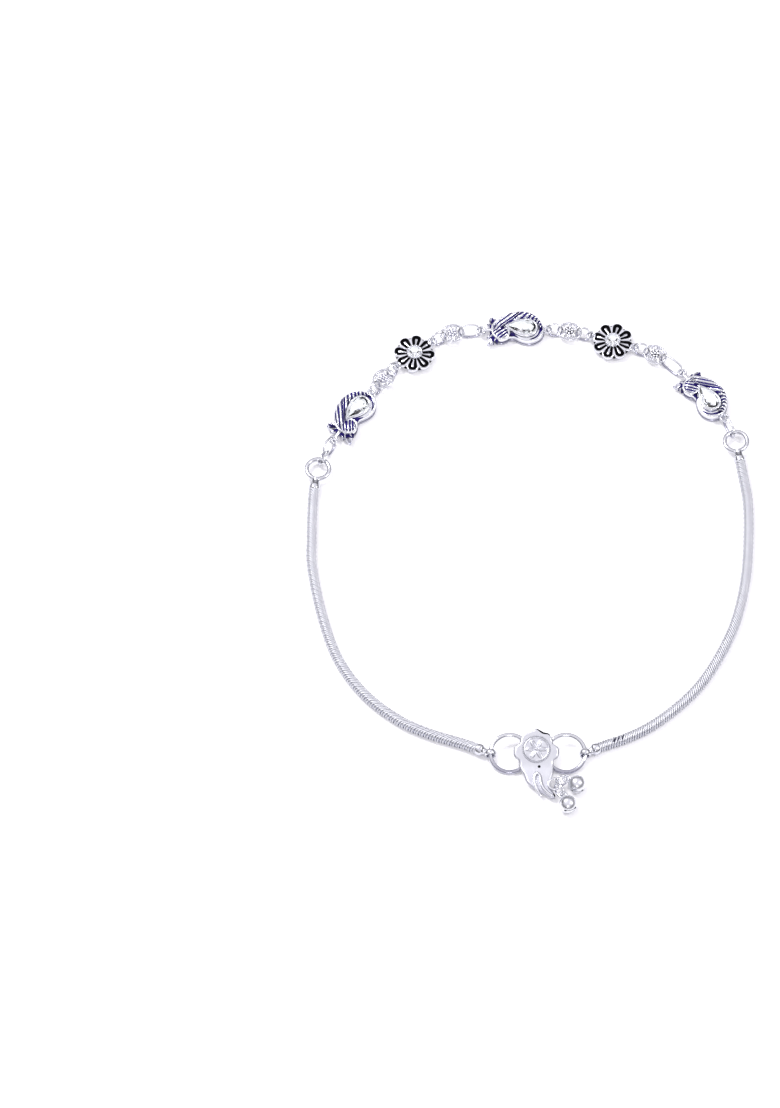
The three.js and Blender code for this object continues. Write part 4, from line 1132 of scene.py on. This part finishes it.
def link_parts():
    """Silver parts of one scroll link, and the dark disc under its head that is painted shade."""
    half_length = LINK_PITCH / 2 + LINK_HOLE
    half = np.array([half_length, LINK_HALF_WIDTH, 1])
    metal = [tube(polar(1, spin(72), EYE_HEIGHT) * half, LINK_RIM / 2, 12, True, flat=1.15)]
    metal += beads(polar(1, spin(LINK_BEADS), EYE_HEIGHT + 0.22) * half, 0.11, 8, 5)
    for end in (-1, 1):
        for side in (-1, 1):
            sweep = np.linspace(0, 1, 40)
            turn = 0.6 + sweep * CURL["turns"] * 2 * math.pi
            radius = CURL["radius"] * (1 - CURL["loss"] * sweep)
            x, y = (polar(radius, turn) + CURL["spot"]).T
            line = np.stack([end * x, side * y, EYE_HEIGHT + 0.1 + 0.12 * sweep], 1)
            metal.append(tube(line, CURL_WIRE / 2, 8))
            heart = smooth_line([(end * x, side * y, EYE_HEIGHT + rise) for x, y, rise in HEART],
                                18)[0]
            metal.append(tube(heart, HEART_WIRE / 2, 8))
    for side in (-1, 1):
        line = np.array([(0, side * 0.5, EYE_HEIGHT), (0, side * 1.1, EYE_HEIGHT + 0.05),
                         (0, side * 1.7, EYE_HEIGHT)])
        metal.append(tube(line, 0.2, 10))
    metal += beads(polar(HEAD_REACH, math.pi / 6 + spin(6), EYE_HEIGHT + 0.3), 0.29, 14, 8)
    metal.append(ball((0, 0, EYE_HEIGHT + 0.42), 0.27, 14, 8))
    # Dark disc under the head: painted shade between its beads
    dark = [slab(polar(HEAD_HOLLOW, spin(36)), [(EYE_HEIGHT - 0.2, 0.05), (EYE_HEIGHT + 0.36, 0)])]
    return metal, dark


LINK_METAL, LINK_DARK = link_parts()
LINK_SHADE = oxide_and_shade("link_shade", (0.16, 0.155, 0.2), 0.4)

for link in LINKS:
    spot = middle(link["node"])
    spot[2] = 0
    shade = GROOVE_AND_SHADE_BLACK if link["dark"] else LINK_SHADE
    casting(link["node"], (("_casting", LINK_METAL, CAST_SILVER, "silver"),
                           ("_hollows", LINK_DARK, shade, "oxidised_silver")),
            link["heading"], spot, 50)


# Clasp: two heavy wire rings, joined by a cast shield that is soldered to the left one by a
# staple and hooks into the right one. Its tongue is bent down and carries two wires and an eye.

CLASP_RING_RADIUS = 3.55
CLASP_TILT = 15
CLASP_RING_LEFT = -4.9
CLASP_RING_RIGHT = 5.45
PLATE_RADIUS = 4.2
PLATE_THICKNESS = 0.7
PLATE_GAP = 0.16
TONGUE_LENGTH = 9.3
TONGUE_TILT = 6
HOOK_WIRE = 0.62
STAPLE_RADIUS = 0.8
STAPLE_WIRE = 0.45
MEDALLION_RADIUS = 2.5
MEDALLION_RISE = 0.5
BELL_EYE = (0.352, 0.68)
BELL_EYE_RADIUS = 1.07
BELL_EYE_WIRE = 0.45
MEDALLION_BEADS = 44
# Rosette: petals, how far out each one's middle lies, half its length and half its width
ROSETTE = (6, 1.08, 0.9, 0.44)
# Hole under the medallion, drawn as a black disc of painted shade: its middle and its radius
SHIELD_HOLE = (0.5, -2.82, 0.27)
# How far in from its edge the shield is rounded off, and how far down
EDGE_ROUND = 0.4
EDGE_FALL = 0.26
# Shield edge: degrees down each side from its peak, share of the plate's radius
PLATE_EDGE = [
    (0, 1.08), (20, 0.92), (34, 0.98), (48, 0.94), (63, 0.84), (76, 0.97), (90, 1.0),
    (104, 0.97), (115, 0.86), (128, 0.95),
]
# Tongue outline: shares of its length down and sideways, from the fold to the tip
TONGUE_LEFT = [
    (0.3, -0.34), (0.37, -0.31), (0.45, -0.26), (0.54, -0.225), (0.63, -0.19), (0.72, -0.1),
    (0.79, 0), (0.84, 0.09), (0.9, 0.18), (0.965, 0.27), (0.975, 0.36),
]
TONGUE_RIGHT = [
    (0.3, 0.34), (0.44, 0.33), (0.55, 0.3), (0.65, 0.27), (0.74, 0.28), (0.82, 0.32),
    (0.9, 0.37), (0.975, 0.36),
]
# The two wires on the tongue, in the same shares, and how far each one's end rises
TONGUE_WIRES = [
    ([(0.42, 0.01), (0.48, -0.035), (0.57, -0.045), (0.7, -0.02), (0.83, 0.03), (0.94, 0.09)],
     -0.1),
    ([(0.42, -0.01), (0.49, 0.06), (0.62, 0.083), (0.75, 0.13), (0.86, 0.22), (0.93, 0.32)], 0),
]
# Staple and hook: where round its ring each wire starts and ends
STAPLE_SWEEP = (0, 360)
HOOK_SWEEP = (18, 305)

clasp_middle = middle("clasp_ring_left") - np.array([CLASP_RING_LEFT, 0, 0])
plate_low = CLASP_RING_WIRE / 2 + PLATE_GAP
plate_top = plate_low + PLATE_THICKNESS


def in_clasp(points):
    """From the frame of the clasp's rings to the anklet's."""
    return turned(points, CLASP_TILT, 0, 0, clasp_middle)


def in_tongue(points):
    """From the tongue's flat shape to its place, bent up from the shield about its root."""
    points = np.array(points, float)
    past = -0.3 * TONGUE_LENGTH - points[:, 1]
    bend = 0.6
    rise = np.where(past < bend, np.clip(past + bend, 0, None) ** 2 / (4 * bend), past)
    points[:, 2] += math.sin(math.radians(CLASP_TILT - TONGUE_TILT)) * rise
    return in_clasp(points)


for side, x in (("left", CLASP_RING_LEFT), ("right", CLASP_RING_RIGHT)):
    ring = hoop(CLASP_RING_RADIUS, CLASP_RING_WIRE, (x, 0, 0), 18, 96)
    piece("clasp_ring_" + side + "_wire", [fitted(ring, in_clasp)], WIRE_SILVER,
          ["clasp_ring_" + side])

SHIELD_SILVER = silver("shield_silver", bright=0.7, tarnish=0.6, low=0.6, polish=0.34, bump=0.8)


def shield_parts():
    """The shield with its tongue, the wires on it and its dark marks, already in place."""
    metal, wires, dark = [], [], []
    sides = []
    for tongue, way in ((TONGUE_LEFT, 1), (TONGUE_RIGHT, -1)):
        turn, share = np.array(PLATE_EDGE, float).T
        line = polar(PLATE_RADIUS * share, np.radians(90 + way * turn), 0).tolist()
        line += [(s * TONGUE_LENGTH, -d * TONGUE_LENGTH, 0) for d, s in tongue]
        sides.append(smooth_line(line, 400)[0])
    left, right = sides
    top, tip = left[0, 1], left[-1, 1]
    level = (top + tip) / 2 + (top - tip) / 2 * np.cos(np.linspace(0.06, math.pi - 0.05, 110))
    from_left = np.interp(-level, -left[:, 1], left[:, 0])[:, None]
    from_right = np.interp(-level, -right[:, 1], right[:, 0])[:, None]
    share = (1 - np.cos(np.linspace(0, math.pi, 27)))[None, :] / 2
    x = from_left * (1 - share) + from_right * share
    y = level[:, None] + 0 * x
    inside = np.minimum(np.minimum(x - from_left, from_right - x),
                        np.minimum(top - y, y - tip) * 0.8)
    z = plate_top - EDGE_FALL * (1 - np.clip(inside / EDGE_ROUND, 0, 1)) ** 2
    metal.append(fitted(sheet(np.stack([x, y, z], -1), plate_low), in_tongue))

    # Dark strip along the shield's right shoulder
    edge = right[(right[:, 1] < top - 0.12) & (right[:, 1] > top - 1.35) & (right[:, 0] < 2.6)]
    edge = edge[::3] + np.array([-0.06, -0.06, plate_top - 0.12])
    thick = 0.2 * np.sin(np.linspace(0.3, 2.9, len(edge))) ** 0.7
    dark.append(fitted(tube(edge, thick, 8), in_clasp))

    # Medallion: a beaded edge and a low rosette with a small boss
    def on_medallion(points):
        return in_clasp(points + np.array([0, MEDALLION_RISE, 0]))

    edge = hoop(MEDALLION_RADIUS - 0.28, 0.26, (0, 0, plate_top + 0.02), 8, 96)
    metal.append(fitted(edge, on_medallion))
    metal += [fitted(bead, on_medallion) for bead in beads(
        polar(MEDALLION_RADIUS, spin(MEDALLION_BEADS), plate_top + 0.05), 0.15, 10, 6)]
    rows, around = 30, 192
    petals, spot, half_length, half_width = ROSETTE
    radius = np.linspace(0.02, MEDALLION_RADIUS - 0.3, rows)[:, None]
    angle = spin(around)[None, :]
    height = plate_top + 0.02 + 0 * radius * angle
    for petal in range(petals):
        off = angle - petal * 2 * math.pi / petals
        inside = (((radius * np.cos(off) - spot) / half_length) ** 2
                  + (radius * np.sin(off) / half_width) ** 2)
        crown = np.sqrt(np.clip(1 - inside, 0, 1))
        vein = step(0.1, 0.02, np.abs(radius * np.sin(off))) * step(1.0, 0.2, inside)
        height = np.maximum(height, plate_top + 0.02 + 0.2 * crown - 0.08 * vein)
    height = np.maximum(height, plate_top + 0.3 * step(0.42, 0.2, radius))
    points = np.stack([radius * np.cos(angle), radius * np.sin(angle), height], -1)
    points = np.concatenate([points.reshape(-1, 3),
                             polar(MEDALLION_RADIUS - 0.3, angle[0], plate_top - 0.2)])
    metal.append(fitted((points, ring_faces(rows + 1, around)), on_medallion))

    # Small hole under the medallion, drawn as a black disc: painted shade in the hole
    hole = polar(SHIELD_HOLE[2], spin(96)) + np.array(SHIELD_HOLE[:2])
    dark.append(fitted(slab(hole, [(plate_top - 0.1, 0), (plate_top + 0.012, 0.0)]), in_tongue))

    # Staple and hook under the shield
    for x, sweep in ((CLASP_RING_LEFT + CLASP_RING_RADIUS, STAPLE_SWEEP),
                     (CLASP_RING_RIGHT - CLASP_RING_RADIUS, HOOK_SWEEP)):
        closed = sweep == STAPLE_SWEEP
        turn = np.radians(np.linspace(*sweep, 48, endpoint=not closed))
        line = np.stack([x + STAPLE_RADIUS * np.cos(turn), 0 * turn,
                         STAPLE_RADIUS * np.sin(turn)], 1)
        metal.append(fitted(tube(line, STAPLE_WIRE / 2, 12, closed, (0, 1, 0)), in_clasp))

    # Two wires and the bells' eye on the tongue, and a black spot at its tip: painted shade for
    # the hole of a curled wire end
    wire_height = plate_top + HOOK_WIRE * 0.3
    for line, lift in TONGUE_WIRES:
        path = smooth_line([(s * TONGUE_LENGTH, -d * TONGUE_LENGTH, wire_height)
                            for d, s in line], 60)[0]
        path[:, 2] += lift * step(0.7, 1, np.linspace(0, 1, 60))
        wire = tapered(path, [0, 0.02, 0.06, 0.95, 1],
                       [HOOK_WIRE / 2 * share for share in (0.5, 0.85, 1, 1, 0.75)], 12)
        wires.append(fitted(wire, in_tongue))
    spot = (BELL_EYE[0] * TONGUE_LENGTH, -BELL_EYE[1] * TONGUE_LENGTH, wire_height)
    wires.append(fitted(hoop(BELL_EYE_RADIUS, BELL_EYE_WIRE, spot, 12, 96), in_tongue))
    tip_shade = np.array([(3.1, -8.15, plate_top - 0.05), (3.3, -8.45, plate_top - 0.05),
                      (3.42, -8.75, plate_top - 0.1)])
    dark.append(fitted(tube(tip_shade, [0.08, 0.16, 0.08], 8), in_tongue))
    return metal, wires, dark


SHIELD_METAL, SHIELD_WIRES, SHIELD_DARK = shield_parts()
piece("clasp_shield", SHIELD_METAL, SHIELD_SILVER, ["clasp_plate"], 44)
piece("clasp_wires", SHIELD_WIRES, CAST_SILVER, ["clasp_plate"], 44)
# Dark marks: painted shade in the small hole and at the tongue's tip, and a dark strip on the
# shoulder
piece("clasp_dark_marks", SHIELD_DARK, GROOVE_AND_SHADE_BLACK, ["clasp_plate"])


# Bells: hollow round ghungroo bells with a raised seam, a slit that ends in two round holes and
# a loop, each hung on a jump ring from the eye of the tongue.

BELL_RADIUS = 1.68
BELL_WALL = 0.3
BELL_LOOP_RADIUS = 0.64
BELL_SLIT = 0.12
BELL_SLIT_WIDTH = 2.0
BELL_SLIT_DEPTH = 1.7
BELL_HOLE_RADIUS = 0.22
BELL_HOLE_SPOT = 0.95
BELL_SEAM = 0.035
BELL_RING_ROLL = 58
BELL_RING_WIDTH = 1.9
BELL_RING_WIRE = 0.38
# Each bell: its ring's and its own heading, and which way its slit faces, round and up
BELLS = [
    {"count": 1, "ring_heading": 22, "ring_length": 2.05, "heading": -32, "slit": (-90, 3)},
    {"count": 2, "ring_heading": -58, "ring_length": 2.5, "heading": -64, "slit": (-72, 18)},
]
BELL_SILVER = silver("bell_silver", bright=0.8, tarnish=0.4, low=0.7, polish=0.24, bump=0.2)


def cutter(name, shape):
    """A helper object, made of a bmesh, that cuts a bell."""
    mesh = bpy.data.meshes.new(name)
    shape.to_mesh(mesh)
    shape.free()
    return added(name, mesh)


def bell_shell(name, heading, slit_way, loop):
    """A slit hollow ball with its loop, as two closed bodies."""
    centre = BELL_RADIUS + BELL_LOOP_RADIUS + 0.12 - EYE_WIRE / 2
    rows, around = 48, 64
    levels = [math.pi * i / rows for i in range(1, rows)]
    profile = []
    for level in levels:
        seam = BELL_SEAM * math.exp(-((level - math.pi / 2) / 0.05) ** 2)
        profile.append((-math.cos(level) * BELL_RADIUS, math.sin(level) * BELL_RADIUS + seam))
    inner = BELL_RADIUS - BELL_WALL
    profile += [(-math.cos(level) * inner, math.sin(level) * inner) for level in reversed(levels)]
    turn = spin(around)
    points = np.concatenate([
        np.stack([np.full(around, centre + x), radius * np.cos(turn), radius * np.sin(turn)], 1)
        for x, radius in profile])
    faces = ring_faces(rows - 1, around)
    first = (rows - 1) * around
    faces += [tuple(first + k for k in reversed(face)) for face in ring_faces(rows - 1, around)]
    ball_mesh = bpy.data.meshes.new(name)
    ball_mesh.from_pydata(points.tolist(), [], faces)
    shell = added(name, ball_mesh)
    facing = (Matrix.Translation((centre, 0, 0))
              @ Matrix.Rotation(math.radians(slit_way[0] - heading), 4, "Z")
              @ Matrix.Rotation(math.radians(-slit_way[1]), 4, "Y"))
    slit = bmesh.new()
    bmesh.ops.create_cube(slit, size=1.0, matrix=facing @ Matrix.Translation((BELL_RADIUS, 0, 0))
                          @ Matrix.Diagonal((BELL_SLIT_DEPTH, BELL_SLIT_WIDTH, BELL_SLIT, 1)))
    holes = bmesh.new()
    for side in (-BELL_HOLE_SPOT, BELL_HOLE_SPOT):
        bmesh.ops.create_cone(holes, cap_ends=True, segments=24, radius1=BELL_HOLE_RADIUS,
                              radius2=BELL_HOLE_RADIUS, depth=1.8,
                              matrix=facing @ Matrix.Translation((1.5, side, 0))
                              @ Matrix.Rotation(math.radians(90), 4, "Y"))
    tools = [cutter(name + "_slit", slit), cutter(name + "_holes", holes)]
    for tool in tools:
        cut = shell.modifiers.new(tool.name, "BOOLEAN")
        cut.operation = "DIFFERENCE"
        cut.solver = "EXACT"
        cut.object = tool
    bpy.context.view_layer.update()
    cut_mesh = bpy.data.meshes.new_from_object(
        shell.evaluated_get(bpy.context.evaluated_depsgraph_get()))
    body = (np.array([v.co for v in cut_mesh.vertices]),
            [tuple(face.vertices) for face in cut_mesh.polygons])
    for helper in (shell, *tools):
        bpy.data.objects.remove(helper)
    return [fitted(part, lambda points: turned(points, 0, 0, heading, loop))
            for part in (body, hoop(BELL_LOOP_RADIUS, EYE_WIRE))]


for bell in BELLS:
    ring_node = "bell_ring_%d" % bell["count"]
    bell_node = "bell_%d" % bell["count"]
    loop = middle(ring_node)
    loop_height = middle(bell_node)[2]
    fall = math.degrees(math.atan2(2 * (loop[2] - loop_height), bell["ring_length"]))
    line = turned(oval(bell["ring_length"] / 2, BELL_RING_WIDTH / 2), BELL_RING_ROLL)
    line = turned(line, 0, fall, bell["ring_heading"], loop)
    across = turned(turned([(0, 0, 1)], BELL_RING_ROLL), 0, fall, bell["ring_heading"])[0]
    piece(ring_node + "_wire", [tube(line, BELL_RING_WIRE / 2, 12, True, across)], WIRE_SILVER,
          [ring_node])
    reach = bell["ring_length"] / 2
    loop = np.array([loop[0] + reach * math.cos(math.radians(bell["ring_heading"])),
                     loop[1] + reach * math.sin(math.radians(bell["ring_heading"])), loop_height])
    shell = bell_shell(bell_node, bell["heading"], bell["slit"], loop)
    piece(bell_node + "_shell", shell, BELL_SILVER, [bell_node], 40)


# Table, light and camera: a plain white sheet under a wide soft sky, seen as a buyer looks down
# at it from about 60 degrees.

FRAME_MM_PER_PIXEL = 0.185
FRAME_PIXELS = 1108
SENSOR = 36
LENS = 800
VIEW_ELEVATION = 60
AIM = (-25.73, 2.39)
# Half the side of the sheet under the anklet, in metres
SHEET_REACH = 3.0
# Sky from the horizon up: height as a share, red level, and green and blue as shares of red
SKY = [
    (0, 0.04, 0.97, 1.06), (0.12, 0.08, 0.975, 1.05), (0.3, 0.22, 0.975, 1.05),
    (0.55, 0.66, 0.975, 1.05), (0.82, 1.06, 0.975, 1.05), (1, 0.9, 0.98, 1.04),
]
# Lamps: name, place and side in metres, power in watts
LAMPS = [
    ("key_panel", (-0.5, 0.35, 0.9), 0.3, 6),
    ("fill_panel", (0.7, -0.1, 0.8), 0.25, 3),
    ("front_panel", (0.0, -0.9, 0.55), 0.2, 1),
]
WHITE_SHEET = mottled("white_sheet", (0.93, 0.93, 0.935), (0.95, 0.95, 0.95), 60,
                      {"Roughness": 0.7, "Specular IOR Level": 0.2,
                       "Emission Color": (1, 1, 1, 1), "Emission Strength": 0.16})

floor_mesh = bpy.data.meshes.new("floor")
floor_mesh.from_pydata([(SHEET_REACH * x, SHEET_REACH * y, 0)
                        for x, y in ((-1, -1), (1, -1), (1, 1), (-1, 1))], [], [(0, 1, 2, 3)])
floor_mesh.materials.append(WHITE_SHEET)
floor = added("floor", floor_mesh)

world = bpy.data.worlds.new("soft_sky")
bpy.context.scene.world = world
world.use_nodes = True
sky = world.node_tree
direction = add_node(sky, "ShaderNodeTexCoord")
split = add_node(sky, "ShaderNodeSeparateXYZ", {"Vector": direction.outputs["Generated"]})
ramp = add_node(sky, "ShaderNodeValToRGB", {"Fac": split.outputs["Z"]})
steps = ramp.color_ramp.elements
for height, level, green, blue in SKY:
    if 0 < height < 1:
        element = steps.new(height)
    else:
        element = steps[0] if height == 0 else steps[-1]
    element.color = (level, level * green, level * blue, 1)
feed(sky, sky.nodes["Background"], {"Color": ramp.outputs["Color"], "Strength": 1.0})

for name, spot, size, power in LAMPS:
    light = bpy.data.lights.new(name, "AREA")
    light.shape = "SQUARE"
    light.size = size
    light.energy = power
    light.color = (1.0, 0.985, 1.0)
    lamp = added(name, light)
    lamp.location = spot
    lamp.rotation_euler = (-Vector(spot)).to_track_quat("-Z", "Y").to_euler()

camera_data = bpy.data.cameras.new("camera")
camera_data.type = "PERSP"
camera_data.sensor_fit = "AUTO"
camera_data.sensor_width = SENSOR
camera_data.lens = LENS
camera_data.clip_start = 0.01
camera_data.clip_end = 20
camera = added("camera", camera_data)
distance = FRAME_PIXELS * FRAME_MM_PER_PIXEL * LENS / SENSOR * MM
tilt = math.radians(VIEW_ELEVATION)
camera.location = (AIM[0] * MM, AIM[1] * MM - distance * math.cos(tilt),
                   distance * math.sin(tilt))
camera.rotation_euler = (math.pi / 2 - tilt, 0, 0)
bpy.context.scene.camera = camera
bpy.context.scene.view_settings.view_transform = "Standard"
bpy.context.scene.view_settings.look = "None"
